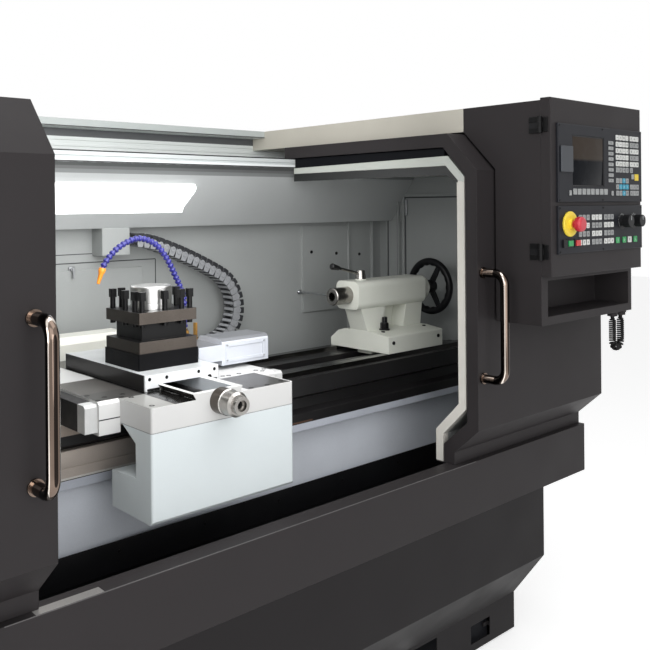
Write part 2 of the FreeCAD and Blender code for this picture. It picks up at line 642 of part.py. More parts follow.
def top_beam():
    """Hollow beam along the back of the roof, with a lip to the front."""
    half = HALF - 4
    outer = [(REAR_SKIN, ROOF_Z + 34), (REAR_SKIN, BOX_TOP - BEAM_LIP), (BEAM_LIP_Y, BOX_TOP - BEAM_LIP),
             (BEAM_LIP_Y, BOX_TOP), (BEAM_BACK, BOX_TOP), (BEAM_BACK, ROOF_Z + 34)]
    shell = prism_x(outer, -half, half)
    core = block(-half + SHEET, half - SHEET, REAR_SKIN + SHEET, BEAM_BACK - SHEET,
                 ROOF_Z + 30, BOX_TOP - SHEET)
    web = block(-half, half, REAR_SKIN - SHEET, REAR_SKIN, ROOF_Z + 34, BOX_TOP - BEAM_LIP)
    lines = [block(-half, half, REAR_SKIN - SHEET - 3, REAR_SKIN - SHEET, z, z + 8)
             for z in (ROOF_Z + 50, ROOF_Z + 70, ROOF_Z + 90)]
    beam = join(shell.cut(core), web, *lines)
    mouth = block(*DUCT_MOUTH, REAR_SKIN - SHEET - 1, REAR_SKIN + SHEET + 1, ROOF_Z + 100,
                  BOX_TOP - BEAM_LIP - 5)
    keep("top_beam", beam.cut(mouth))


def door_rail():
    """Grooved rail that carries the backs of both doors."""
    half = HALF - 8
    back = RAIL_FRONT + RAIL_WIDTH
    top = DOOR_TOP - DOOR_DEPTH - GAP
    outline = [(RAIL_FRONT, ROOF_Z), (RAIL_FRONT, ROOF_Z + 12), (RAIL_FRONT + 4, ROOF_Z + 14),
               (RAIL_FRONT + 4, ROOF_Z + 17), (RAIL_FRONT, ROOF_Z + 19), (RAIL_FRONT, top),
               (back, top), (back, ROOF_Z)]
    keep("door_rail", prism_x(outline, -half, half))


def door(sign):
    """Sliding door: outer skin folded round its section, end flanges and hat ribs."""
    inner_x = DOOR_X
    lo, hi = (inner_x, HALF) if sign > 0 else (-HALF, -inner_x)
    skin = band(DOOR_PROFILE, SHEET, lo, hi)
    parts = [skin]
    for x in (lo, hi - SHEET):
        parts.append(band(DOOR_PROFILE, DOOR_DEPTH, x, x + SHEET))
    foot = DOOR_PROFILE[0]
    parts.append(block(lo, hi, foot[0], foot[0] + DOOR_DEPTH, foot[1], foot[1] + SHEET))
    parts.append(block(lo, hi, DOOR_TOP_BACK - SHEET, DOOR_TOP_BACK, DOOR_TOP - DOOR_DEPTH, DOOR_TOP))
    parts.append(block(lo, hi, RAIL_FRONT - 6, DOOR_TOP_BACK, DOOR_TOP - DOOR_DEPTH,
                       DOOR_TOP - DOOR_DEPTH + SHEET))
    middle = (lo + hi) / 2
    for x in (middle - 20, middle + 20):
        parts.append(band(DOOR_PROFILE, DOOR_DEPTH - 12, x - SHEET / 2, x + SHEET / 2))
    keep("right_door" if sign > 0 else "left_door", join(*parts))


def handle(sign):
    """Bent tube pull with a collar at each foot."""
    x = sign * (DOOR_X + HANDLE_INSETS[0 if sign < 0 else 1])
    low, high = HANDLE_MID - HANDLE_SPAN / 2, HANDLE_MID + HANDLE_SPAN / 2
    out = DOOR_FRONT - HANDLE_STAND
    grip = bent_tube([Vec(x, DOOR_FRONT, low), Vec(x, out, low), Vec(x, out, high),
                      Vec(x, DOOR_FRONT, high)], HANDLE_TUBE, 34)
    collars = [rod(x, DOOR_FRONT - 6, z, HANDLE_TUBE + 3.5, 6, Y_AXIS) for z in (low, high)]
    keep("right_handle" if sign > 0 else "left_handle", join(grip, *collars))


def electrical_cabinet():
    """Shallow cabinet on the back, with a hinged door and a turned latch handle."""
    back = REAR_SKIN + CABINET_DEPTH
    shell = block(-CABINET_HALF, CABINET_HALF, REAR_SKIN, back, CABINET_LOW, CABINET_HIGH)
    shell = shell.cut(block(-CABINET_HALF + 2, CABINET_HALF - 2, REAR_SKIN + 2, back + 1,
                            CABINET_LOW + 2, CABINET_HIGH - 2))
    frame = block(-CABINET_HALF + 2, CABINET_HALF - 2, back - 2, back, CABINET_LOW + 2,
                  CABINET_HIGH - 2)
    frame = frame.cut(block(-CABINET_HALF + 30, CABINET_HALF - 30, back - 3, back + 1,
                            CABINET_LOW + 30, CABINET_HIGH - 30))
    plate = block(-CABINET_HALF + 60, CABINET_HALF - 60, REAR_SKIN + 1.9, REAR_SKIN + 6,
                  CABINET_LOW + 60, CABINET_HIGH - 60)
    pins = []
    for z in CABINET_HINGES:
        pins.append(rod(CABINET_HALF + 7, back + 8, z - 40, 4, 80, Z_AXIS))
        pins.append(block(CABINET_HALF - 2, CABINET_HALF + 7, back - 30, back + 3, z - 40, z - 15))
        pins.append(block(CABINET_HALF - 2, CABINET_HALF + 7, back - 30, back + 3, z + 15, z + 40))
        pins.append(rod(CABINET_HALF + 7, back + 8, z - 40, 8, 25, Z_AXIS))
        pins.append(rod(CABINET_HALF + 7, back + 8, z + 15, 8, 25, Z_AXIS))
    keep("electrical_cabinet", join(shell, frame, plate, *pins))
    panel = block(-CABINET_HALF, CABINET_HALF - 3, back + GAP, back + CABINET_DOOR, CABINET_LOW,
                  CABINET_HIGH)
    panel = panel.cut(block(-CABINET_HALF + 2, CABINET_HALF - 5, back - 1, back + CABINET_DOOR - 2,
                            CABINET_LOW + 2, CABINET_HIGH - 2))
    knuckles = []
    for z in CABINET_HINGES:
        knuckles.append(rod(CABINET_HALF + 7, back + 8, z - 14.7, 8, 29.4, Z_AXIS))
        knuckles.append(block(CABINET_HALF - 12, CABINET_HALF + 4, back + 3, back + 13, z - 14.7,
                              z + 14.7))
    panel = join(panel, *knuckles)
    for z in CABINET_HINGES:
        panel = panel.cut(rod(CABINET_HALF + 7, back + 8, z - 20, 4 + FIT, 40, Z_AXIS))
    grip = [block(-CABINET_HALF + 46, -CABINET_HALF + 66, back + CABINET_DOOR - 1,
                  back + CABINET_DOOR + 30, 1010, 1030),
            rounded_block(-CABINET_HALF + 44, -CABINET_HALF + 68, back + CABINET_DOOR + 14,
                          back + CABINET_DOOR + 30, 1010, 1150, 6, Z_AXIS)]
    keep("cabinet_door", join(panel, *grip))


CABINET_HINGES = (700.0, 1080.0, 1460.0)


# ---------------------------------------------------------------- carriage
def dovetail(grow):
    """Outline of the saddle's dovetail, or of the slide's slot when grown by a gap."""
    left, right = DOVETAIL_FOOT[0] - grow, DOVETAIL_FOOT[1] + grow
    flare = DOVETAIL_FLARE * (DOVETAIL_TOP + grow - SADDLE_TOP) / (DOVETAIL_TOP - SADDLE_TOP)
    return [(left, SADDLE_TOP - 1), (right, SADDLE_TOP - 1), (right, SADDLE_TOP),
            (right + flare, DOVETAIL_TOP + grow), (left - flare, DOVETAIL_TOP + grow), (left, SADDLE_TOP)]


def saddle():
    """Saddle casting: front block, wings over the ways and the cross dovetail."""
    base = BED_TOP + GAP
    wing_left, wing_right = SADDLE_LEFT - SADDLE_WING, SADDLE_RIGHT + SADDLE_WING
    front = AXIS_Y - BED_HALF
    block_front = block(SADDLE_LEFT, SADDLE_RIGHT, SADDLE_FRONT, WING_FRONT + 1, APRON_TOP, SADDLE_TOP)
    deck = block(SADDLE_LEFT, SADDLE_RIGHT, WING_FRONT, SADDLE_BACK, base, SADDLE_TOP)
    lips = [block(SADDLE_LEFT, SADDLE_RIGHT, WING_FRONT, front - 2, APRON_TOP, SADDLE_TOP)]
    wings = []
    for lo, hi in ((wing_left, SADDLE_LEFT + 1), (SADDLE_RIGHT - 1, wing_right)):
        outline = [(WING_FRONT, APRON_TOP - 23), (WING_FRONT, SADDLE_TOP - 8),
                   (WING_FRONT + 8, SADDLE_TOP), (SADDLE_BACK - 60, SADDLE_TOP),
                   (SADDLE_BACK - 40, SADDLE_TOP - 14), (SADDLE_BACK - 40, base), (front - 2, base),
                   (front - 2, APRON_TOP - 23)]
        wings.append(prism_x(outline, lo, hi))
    trunk = prism_y(dovetail(0.0), SADDLE_FRONT, SADDLE_BACK - 20)
    shape = join(block_front, deck, *lips, *wings, trunk)
    rounds = [edge for edge in along(shape, Z_AXIS)
              if abs(edge.BoundBox.YMin - SADDLE_FRONT) < 0.1
              and min(abs(edge.BoundBox.XMin - SADDLE_LEFT), abs(edge.BoundBox.XMin - SADDLE_RIGHT)) < 0.1]
    shape = shape.makeFillet(6, rounds)
    trough = block(*TROUGH, SADDLE_FRONT + FRONT_WALL, SADDLE_BACK - 25, TROUGH_FLOOR, SADDLE_TOP + 30)
    shape = shape.cut(trough)
    shape = shape.cut(rod(CROSS_SCREW_X, SADDLE_FRONT - 1, CROSS_SCREW_Z, CROSS_SCREW_R + 3, 60, Y_AXIS))
    shape = shape.cut(rod(CROSS_SCREW_X, SADDLE_BACK - 40, CROSS_SCREW_Z, CROSS_SCREW_R + 3, 60, Y_AXIS))
    nut = block(SADDLE_X - 60, SADDLE_X + 60, AXIS_Y - 36, AXIS_Y + 36, LONG_SCREW_Z - 26, base + 1)
    shape = join(shape, nut)
    shape = shape.cut(rod(SADDLE_X - 61, AXIS_Y, LONG_SCREW_Z, LONG_SCREW_R + FIT, 122, X_AXIS))
    keep("saddle", shape)


def apron():
    """Apron box below the saddle, cut away where the bed passes."""
    outline = [(SADDLE_FRONT, APRON_BOTTOM + 8), (SADDLE_FRONT, APRON_TOP), (WING_FRONT - 8, APRON_TOP),
               (SADDLE_FRONT + 70, APRON_TOP - 36), (SADDLE_FRONT + 70, APRON_BOTTOM + 93),
               (-152, APRON_BOTTOM + 87), (-152, APRON_BOTTOM), (SADDLE_FRONT + 8, APRON_BOTTOM)]
    shape = prism_x(outline, SADDLE_LEFT, SADDLE_RIGHT)
    rounds = [edge for edge in along(shape, Z_AXIS) if abs(edge.BoundBox.YMin - SADDLE_FRONT) < 0.1]
    keep("apron", shape.makeFillet(6, rounds))


def way_wipers():
    """Felt wipers and their keeper plates at the four corners of the saddle."""
    base = BED_TOP + GAP
    wipers = []
    left, right = SADDLE_LEFT - SADDLE_WING, SADDLE_RIGHT + SADDLE_WING
    front = AXIS_Y - BED_HALF
    outline = [(WING_FRONT + 6, APRON_TOP - 15), (WING_FRONT + 6, SADDLE_TOP - 12),
               (WING_FRONT + 12, SADDLE_TOP - 6), (front + 56, SADDLE_TOP - 6), (front + 56, base),
               (front - 2, base), (front - 2, APRON_TOP - 15)]
    rear = [(2 * AXIS_Y - front - 56, base), (2 * AXIS_Y - front - 56, SADDLE_TOP - 18),
            (SADDLE_BACK - 46, SADDLE_TOP - 18), (SADDLE_BACK - 46, base)]
    for ring in (outline, rear):
        wipers.append(prism_x(ring, left - WIPER, left))
        wipers.append(prism_x(ring, right, right + WIPER))
    keep("way_wipers", Part.makeCompound(wipers))


def cross_screw_housing():
    """Stepped bearing housing of the cross screw, on the saddle's front."""
    x, z = CROSS_SCREW_X, CROSS_SCREW_Z
    profile = [Vec(x, SADDLE_FRONT, z), Vec(x + 31.5, SADDLE_FRONT, z),
               Vec(x + 31.5, SADDLE_FRONT - 34, z), Vec(x + 29.5, SADDLE_FRONT - 36, z),
               Vec(x + 29.5, SADDLE_FRONT - 66, z), Vec(x + 24, SADDLE_FRONT - 72, z),
               Vec(x + 21, SADDLE_FRONT - 72, z), Vec(x + 21, SADDLE_FRONT - 85, z),
               Vec(x, SADDLE_FRONT - 85, z)]
    face = Part.Face(Part.makePolygon(profile + profile[:1]))
    body = face.revolve(Vec(x, 0, z), Y_AXIS, 360)
    body = body.cut(rod(x, SADDLE_FRONT - 90, z, CROSS_SCREW_R + FIT, 100, Y_AXIS))
    body = body.cut(rod(x, SADDLE_FRONT - 86, z, 13, 14, Y_AXIS))
    keep("cross_screw_housing", body)


def cross_screw():
    """Cross ball screw with a socket in its front end."""
    x, z = CROSS_SCREW_X, CROSS_SCREW_Z
    start = SADDLE_FRONT - 70
    shaft = rod(x, start, z, CROSS_SCREW_R, SADDLE_BACK + 20 - start, Y_AXIS)
    ring = [(x + 5.5 * math.cos(math.pi * k / 3), z + 5.5 * math.sin(math.pi * k / 3)) for k in range(6)]
    socket = prism_y(ring, start - 1, start + 10)
    keep("cross_screw", shaft.cut(socket))


def cross_servo():
    """Servo of the cross screw under its sloping cover, behind the saddle."""
    left, right = SERVO_LEFT, SERVO_RIGHT
    back = SADDLE_BACK + 100
    outline = [(SADDLE_BACK, 935), (SADDLE_BACK, 1028), (SADDLE_BACK + 14, 1049), (back, 1049),
               (back, 935)]
    cover = prism_x(outline, left, right)
    cover = cover.makeFillet(12, [e for e in along(cover, X_AXIS)
                                  if e.BoundBox.ZMin > 1040 and e.BoundBox.YMin > back - 1])
    bore = rod(CROSS_SCREW_X, SADDLE_BACK - 1, CROSS_SCREW_Z, CROSS_SCREW_R + FIT, 40, Y_AXIS)
    end_x, end_z = chain_path()[1]
    front = CHAIN_Y - CHAIN_WIDTH / 2
    arm = block(right - 1, end_x - 5, front, back, end_z - 3, end_z + 3)
    riser = block(right - 6, right + 1, front, back, end_z - 3, 990)
    reach = CHAIN_HEIGHT / 2 - 12
    plate = block(end_x - 5, end_x - GAP, front, back, end_z - reach, end_z + reach)
    keep("cross_servo", join(cover.cut(bore), arm, riser, plate))


# ---------------------------------------------------------------- cross slide and turret
def cross_slide():
    """Cross slide with its dovetail, screw nut and front cover plate."""
    body = block(SLIDE_LEFT, SLIDE_RIGHT, SLIDE_FRONT + 6, SLIDE_BACK, SADDLE_TOP + GAP, SLIDE_TOP)
    slot = prism_y(dovetail(GAP), SLIDE_FRONT - 1, SLIDE_BACK + 1)
    body = body.cut(slot)
    plate = block(SLIDE_LEFT, SLIDE_RIGHT, SLIDE_FRONT, SLIDE_FRONT + 6, SADDLE_TOP + GAP, SLIDE_TOP)
    plate = plate.cut(slot)
    nut = block(CROSS_SCREW_X - 18, CROSS_SCREW_X + 18, 30, 90, 954, SLIDE_TOP - 10)
    shape = join(body, plate, nut)
    for x, z in SLIDE_SCREWS:
        shape = shape.cut(rod(x, SLIDE_FRONT - 1, z, 4.5, 5, Y_AXIS))
    shape = shape.cut(rod(GIB_SCREW[0], SLIDE_FRONT - 1, GIB_SCREW[1], 6.5, 5, Y_AXIS))
    shape = shape.cut(rod(CROSS_SCREW_X, 20, CROSS_SCREW_Z, CROSS_SCREW_R + FIT, 80, Y_AXIS))
    keep("cross_slide", shape)


def turret_base():
    """Indexing base block with the fixed post and its domed cap."""
    half = TURRET_SIZE / 2 + 3
    body = block(TURRET_X - half, TURRET_X + half, TURRET_Y - half, TURRET_Y + half, SLIDE_TOP,
                 TURRET_BASE_TOP)
    body = body.makeChamfer(3, along(body, Z_AXIS))
    post = rod(TURRET_X, TURRET_Y, SLIDE_TOP, TURRET_POST_R, TURRET_HEAD_TOP - SLIDE_TOP + 8, Z_AXIS)
    cap = rod(TURRET_X, TURRET_Y, TURRET_HEAD_TOP + GAP, TURRET_CAP_R,
              TURRET_CAP_TOP - TURRET_HEAD_TOP - GAP, Z_AXIS)
    upper = [e for e in cap.Edges if isinstance(e.Curve, Part.Circle)
             and e.BoundBox.ZMin > TURRET_CAP_TOP - 1]
    cap = cap.makeFillet(4, upper)
    groove = tube(TURRET_X, TURRET_Y, TURRET_HEAD_TOP + 14, TURRET_CAP_R + 1, TURRET_CAP_R - 2, 3, Z_AXIS)
    keep("turret_base", join(body, post, cap.cut(groove)))


def turret_head():
    """Four-station tool post: two clamping plates on a narrower core."""
    low = TURRET_BASE_TOP + GAP
    half = TURRET_SIZE / 2
    plates = []
    for z in (low, TURRET_HEAD_TOP - TURRET_PLATE):
        plate = block(TURRET_X - half, TURRET_X + half, TURRET_Y - half, TURRET_Y + half, z,
                      z + TURRET_PLATE)
        plates.append(plate.makeChamfer(2, along(plate, Z_AXIS)))
    core_half = half - 20
    core = block(TURRET_X - core_half, TURRET_X + core_half, TURRET_Y - core_half,
                 TURRET_Y + core_half, low, TURRET_HEAD_TOP)
    head = join(*plates, core)
    head = head.cut(rod(TURRET_X, TURRET_Y, low - 1, TURRET_POST_R + FIT, 200, Z_AXIS))
    for x, y in tool_screw_places():
        head = head.cut(rod(x, y, TURRET_HEAD_TOP - TURRET_PLATE - 1, 7, TURRET_PLATE + 2, Z_AXIS))
    keep("turret_head", head)
    screws = []
    for x, y in tool_screw_places():
        shank = rod(x, y, TURRET_HEAD_TOP - TURRET_PLATE - 9, 7, TOOL_SCREW_TOP - TURRET_HEAD_TOP + 20,
                    Z_AXIS)
        head_block = block(x - 8, x + 8, y - 8, y + 8, TOOL_SCREW_TOP - 22, TOOL_SCREW_TOP)
        head_block = head_block.makeChamfer(1.5, along(head_block, Z_AXIS))
        screws.append(join(shank, head_block))
    keep("turret_screws", Part.makeCompound(screws))


def tool_screw_places():
    """Centres of the twelve clamping screws, three along each side."""
    edge = TURRET_SIZE / 2 - 12
    places = []
    for k in range(4):
        angle = math.pi / 2 * k
        for run in (-edge + 4, -4, edge - 28):
            x = run * math.cos(angle) + edge * math.sin(angle)
            y = run * math.sin(angle) - edge * math.cos(angle)
            places.append((TURRET_X + x, TURRET_Y + y))
    return places


def junction_box():
    """Sealed box of the slide's cables with a rounded lid, and its bracket block."""
    front = -91.0
    bracket = block(SLIDE_RIGHT, BRACKET_RIGHT, front, 32, 1009, BRACKET_TOP)
    box = block(BRACKET_RIGHT, BOX_SIDE, front, 25, BOX_LOW, BOX_HIGH)
    edges = [e for e in along(box, X_AXIS) if e.BoundBox.ZMin > BOX_HIGH - 10]
    box = box.makeFillet(16, edges)
    left, right = BRACKET_RIGHT + 12, BOX_SIDE - 12
    low, high = BOX_LOW + 8, BOX_HIGH - 13.5
    frame = block(left, right, front - 2, front + 2, low, high)
    frame = frame.cut(block(left + 9, right - 9, front - 3, front + 0.5, low + 9, high - 9))
    keep("junction_box", join(bracket, box, frame))


HOSE_X = -19.4
HOSE_Y = 9.0
COCK_Z = BRACKET_TOP + 12.0
HOSE_FOOT = BRACKET_TOP + 40.0
HOSE_ROUTE = [(HOSE_X, HOSE_FOOT + 3), (HOSE_X, 1157), (-28, 1197), (-48, 1240), (-77, 1293),
              (-112, 1332), (-163, 1348), (-218, 1328), (-257, 1291), (-271, 1260), (-279, 1235)]


def coolant_line():
    """Coolant elbow with its shut-off cock, and the jointed hose with its nozzle."""
    foot = BRACKET_TOP
    body = join(rod(HOSE_X, HOSE_Y, foot, 13, 24, Z_AXIS), hexagon(HOSE_X, HOSE_Y, foot + 24, 13, 11),
                rod(HOSE_X, HOSE_Y, foot + 35, 8, 5, Z_AXIS))
    arm = rod(HOSE_X, HOSE_Y, COCK_Z, 8, 30, X_AXIS)
    body = join(body, arm).cut(rod(HOSE_X + 10, HOSE_Y, COCK_Z, 4 + FIT, 30, X_AXIS))
    keep("coolant_fitting", body)
    stem = rod(HOSE_X + 12, HOSE_Y, COCK_Z, 4, 26, X_AXIS)
    lever = rounded_block(HOSE_X + 32, HOSE_X + 38, HOSE_Y - 6, HOSE_Y + 6, COCK_Z - 7, COCK_Z + 41, 2,
                          X_AXIS)
    keep("coolant_cock", join(stem, lever))
    points = [Vec(x, HOSE_Y, z) for x, z in HOSE_ROUTE]
    beads = [rod(HOSE_X, HOSE_Y, HOSE_FOOT + GAP, 10, 2.6, Z_AXIS)]
    pitch = 14.0
    path = resample(points, pitch)
    for start, end, after in zip(path[:-3], path[1:-2], path[2:-1]):
        beads.append(bead(start, end, after))
    tip = (path[-1] - path[-3]).normalize()
    beads.append(Part.makeCone(9.5, 4, 30, path[-3], tip))
    keep("coolant_hose", Part.makeCompound(beads))


def resample(points, pitch):
    """Points one pitch apart along a line."""
    placed = [points[0]]
    for b in points[1:]:
        while (b - placed[-1]).Length >= pitch:
            placed.append(placed[-1] + (b - placed[-1]).normalize() * pitch)
    return placed


def bead(start, end, after):
    """One cup of the jointed hose, cut back so that it clears the next at the bend."""
    run = end - start
    turn = run.getAngle(after - end)
    neck = 7.0
    length = run.Length - 0.1 - neck * math.tan(turn)
    return Part.makeCone(10, neck, length, start, Vec(run).normalize())


# ---------------------------------------------------------------- tailstock
def tailstock():
    """Tailstock casting: base on the ways, two legs, barrel and clamp nut."""
    front = AXIS_Y - 144
    back = AXIS_Y + 144
    base_low = BED_TOP + GAP
    ring = [(front, base_low), (front, TAIL_BASE_TOP - 3), (front + 4, TAIL_BASE_TOP),
            (AXIS_Y - 70, TAIL_BASE_TOP + 9), (AXIS_Y + 70, TAIL_BASE_TOP + 9), (back - 40, TAIL_BASE_TOP),
            (back, TAIL_BASE_TOP - 30), (back, base_low)]
    base = prism_x(ring, TAIL_LEFT, TAIL_RIGHT)
    half_w, half_h = BARREL_WIDTH / 2, BARREL_HEIGHT / 2
    barrel = rounded_block(BARREL_LEFT, BARREL_RIGHT, AXIS_Y - half_w, AXIS_Y + half_w,
                           AXIS_Z - half_h, AXIS_Z + half_h, 22, X_AXIS)
    cap = rod(BARREL_RIGHT - 1, AXIS_Y, AXIS_Z, half_h - 4, 37, X_AXIS)
    under = AXIS_Z - half_h + 12
    deck = TAIL_BASE_TOP + 6
    left_leg = prism_y([(BARREL_LEFT + 22, under), (BARREL_LEFT + 150, under),
                        (BARREL_LEFT + 128, deck), (TAIL_LEFT + 2, deck)], AXIS_Y - 42, AXIS_Y + 42)
    right_leg = prism_y([(BARREL_RIGHT - 92, under), (BARREL_RIGHT - 4, under),
                         (TAIL_RIGHT - 4, deck), (BARREL_RIGHT - 112, deck)], AXIS_Y - 42, AXIS_Y + 42)
    web = block(BARREL_LEFT + 100, BARREL_RIGHT - 60, AXIS_Y + 20, AXIS_Y + 40, deck, under)
    bolt = join(rod(890, AXIS_Y - 14, TAIL_BASE_TOP + 4, 15, 22, Z_AXIS),
                hexagon(890, AXIS_Y - 14, TAIL_BASE_TOP + 26, 13, 20))
    lock = rod(LEVER_X, AXIS_Y, AXIS_Z + half_h - 2, 20, 6, Z_AXIS)
    tongue = block(TAIL_LEFT + 30, TAIL_RIGHT - 30, AXIS_Y - 36, AXIS_Y + 36, 905, base_low + 1)
    shape = join(base, barrel, cap, left_leg, right_leg, web, bolt, lock, tongue)
    shape = shape.cut(rod(BARREL_LEFT - 1, AXIS_Y, AXIS_Z, QUILL_R + FIT, 330, X_AXIS))
    shape = shape.cut(rod(BARREL_LEFT + 300, AXIS_Y, AXIS_Z, WHEEL_SHAFT_R + FIT, 120, X_AXIS))
    shape = shape.cut(rod(LEVER_X, AXIS_Y, AXIS_Z + half_h - 16, LEVER_PIN_R + FIT, 40, Z_AXIS))
    keep("tailstock", shape)


LEVER_X = 786.0
LEVER_PIN_R = 7.0
WHEEL_SHAFT_R = 11.0


def quill():
    """Tailstock quill with its open tapered socket."""
    body = rod(QUILL_NOSE, AXIS_Y, AXIS_Z, QUILL_R, 240, X_AXIS)
    ends = [e for e in body.Edges if isinstance(e.Curve, Part.Circle) and e.BoundBox.XMax < QUILL_NOSE + 1]
    body = body.makeChamfer(2.5, ends)
    socket = Part.makeCone(QUILL_SOCKET_R, QUILL_SOCKET_R - 3, 120, Vec(QUILL_NOSE - 0.01, AXIS_Y, AXIS_Z),
                           X_AXIS)
    keep("quill", body.cut(socket))


def tail_handwheel():
    """Handwheel with a round rim, three spokes, a hub and its shaft."""
    rim = Part.makeTorus(WHEEL_R, WHEEL_RIM, Vec(WHEEL_X, AXIS_Y, AXIS_Z), X_AXIS)
    hub = rod(WHEEL_X - 22, AXIS_Y, AXIS_Z, 24, 36, X_AXIS)
    spokes = []
    for k in range(3):
        spoke = prism_x([(AXIS_Y - 11, AXIS_Z + 18), (AXIS_Y + 11, AXIS_Z + 18),
                         (AXIS_Y + 8, AXIS_Z + WHEEL_R - 4), (AXIS_Y - 8, AXIS_Z + WHEEL_R - 4)],
                        WHEEL_X - 5, WHEEL_X + 5)
        spoke.rotate(Vec(0, AXIS_Y, AXIS_Z), X_AXIS, 120 * k + 30)
        spokes.append(spoke)
    shaft = rod(BARREL_RIGHT - 20, AXIS_Y, AXIS_Z, WHEEL_SHAFT_R, WHEEL_X - BARREL_RIGHT + 6, X_AXIS)
    keep("tail_handwheel", join(rim, hub, *spokes, shaft))


def quill_lever():
    """Clamp lever of the quill: hub, sloping arm and knob."""
    top = AXIS_Z + BARREL_HEIGHT / 2 + 4 + GAP
    hub = join(Part.makeCone(20, 15, 30, Vec(LEVER_X, AXIS_Y, top), Z_AXIS),
               rod(LEVER_X, AXIS_Y, top - 18, LEVER_PIN_R, 24, Z_AXIS))
    root = Vec(LEVER_X, AXIS_Y, top + 17)
    tip = Vec(650, AXIS_Y, 1222)
    run = tip - root
    reach = run.Length
    axis = Vec(run).normalize()
    arm = Part.makeCylinder(5, reach, root, axis)
    knob = Part.makeCone(8, 11.5, 34, root + axis * (reach - 30), axis)
    knob = knob.makeFillet(4, [e for e in knob.Edges if isinstance(e.Curve, Part.Circle)][:1])
    keep("quill_lever", join(hub, arm, knob))


# ---------------------------------------------------------------- operator station
def control_box():
    """Fixed housing over the door: shell, shelf pocket, hinge pins and cord glands."""
    clear = 8.0
    back = DOOR_FRONT - clear
    outline = [(BOX_FRONT, BOX_BOTTOM), (BOX_FRONT, BOX_TOP), (DOOR_TOP_FRONT, BOX_TOP),
               (DOOR_TOP_FRONT, DOOR_TOP + clear), (back, DOOR_FACE_HIGH + 4), (back, BOX_BOTTOM)]
    shell = prism_x(outline, BOX_LEFT, BOX_RIGHT)
    core = [(BOX_FRONT + 2, PANEL_BOTTOM - 9), (BOX_FRONT + 2, BOX_TOP - 2),
            (DOOR_TOP_FRONT - 2, BOX_TOP - 2), (DOOR_TOP_FRONT - 2, DOOR_TOP + clear + 2),
            (back - 2, DOOR_FACE_HIGH + 6), (back - 2, PANEL_BOTTOM - 9)]
    shell = shell.cut(prism_x(core, BOX_LEFT + 2, BOX_RIGHT - 2))
    shell = shell.cut(block(BOX_LEFT + 14, BOX_RIGHT - 14, BOX_FRONT - 1, BOX_FRONT + 5,
                            PANEL_BOTTOM + 14, BOX_TOP - 16))
    x0, x1, z0, z1 = SHELF
    shell = shell.cut(block(x0, x1, BOX_FRONT - 1, BOX_FRONT + SHELF_DEPTH, z0, z1))
    shell = shell.cut(block(BOX_LEFT + 2, BOX_RIGHT - 2, BOX_FRONT + SHELF_DEPTH + 2, back - 2,
                            BOX_BOTTOM + 2, PANEL_BOTTOM - 8))
    shell = shell.cut(block(*DUCT_MOUTH, DOOR_TOP_FRONT - 3, DOOR_TOP_FRONT + 1, DOOR_TOP + clear + 5,
                            BOX_TOP - 8))
    parts = [shell]
    for z in PANEL_HINGES:
        parts.append(rod(PIN_X, PIN_Y, z - 23, 3.5, 46, Z_AXIS))
        for lo in (z - 23, z + 8):
            parts.append(rod(PIN_X, PIN_Y, lo, 7, 15, Z_AXIS))
            parts.append(block(BOX_LEFT - 4, BOX_LEFT + 1, PIN_Y + 3, BOX_FRONT + 34, lo, lo + 15))
            parts.append(block(PIN_X, BOX_LEFT, PIN_Y + 1, PIN_Y + 6, lo, lo + 15))
    for x in CORD_LEGS:
        parts.append(rod(x, CORD_Y, BOX_BOTTOM - 16, CORD_R + 3, 17, Z_AXIS))
        parts.append(hexagon(x, CORD_Y, BOX_BOTTOM - 8, CORD_R + 5.5, 8))
    keep("control_box", join(*parts))


PANEL_HINGES = (1298.0, 1650.0)
PIN_X = 696.0
PIN_Y = -671.0
DUCT_MOUTH = (BOX_LEFT + 10, BOX_RIGHT - 10)


def top_duct():
    """Closed duct that carries the operator station back to the rear beam."""
    low = DOOR_TOP + 8
    shell = block(BOX_LEFT, BOX_RIGHT, DOOR_TOP_FRONT, BEAM_LIP_Y, low, BOX_TOP)
    core = block(BOX_LEFT + SHEET, BOX_RIGHT - SHEET, DOOR_TOP_FRONT - 1, BEAM_LIP_Y + 1, low + SHEET,
                 BOX_TOP - SHEET)
    tail = block(BOX_LEFT, BOX_RIGHT, BEAM_LIP_Y - 1, REAR_SKIN - SHEET - 3, low, BOX_TOP - BEAM_LIP)
    tail = tail.cut(block(BOX_LEFT + SHEET, BOX_RIGHT - SHEET, BEAM_LIP_Y - 2, REAR_SKIN, low + SHEET,
                          BOX_TOP - BEAM_LIP - SHEET))
    keep("top_duct", join(shell.cut(core), tail))


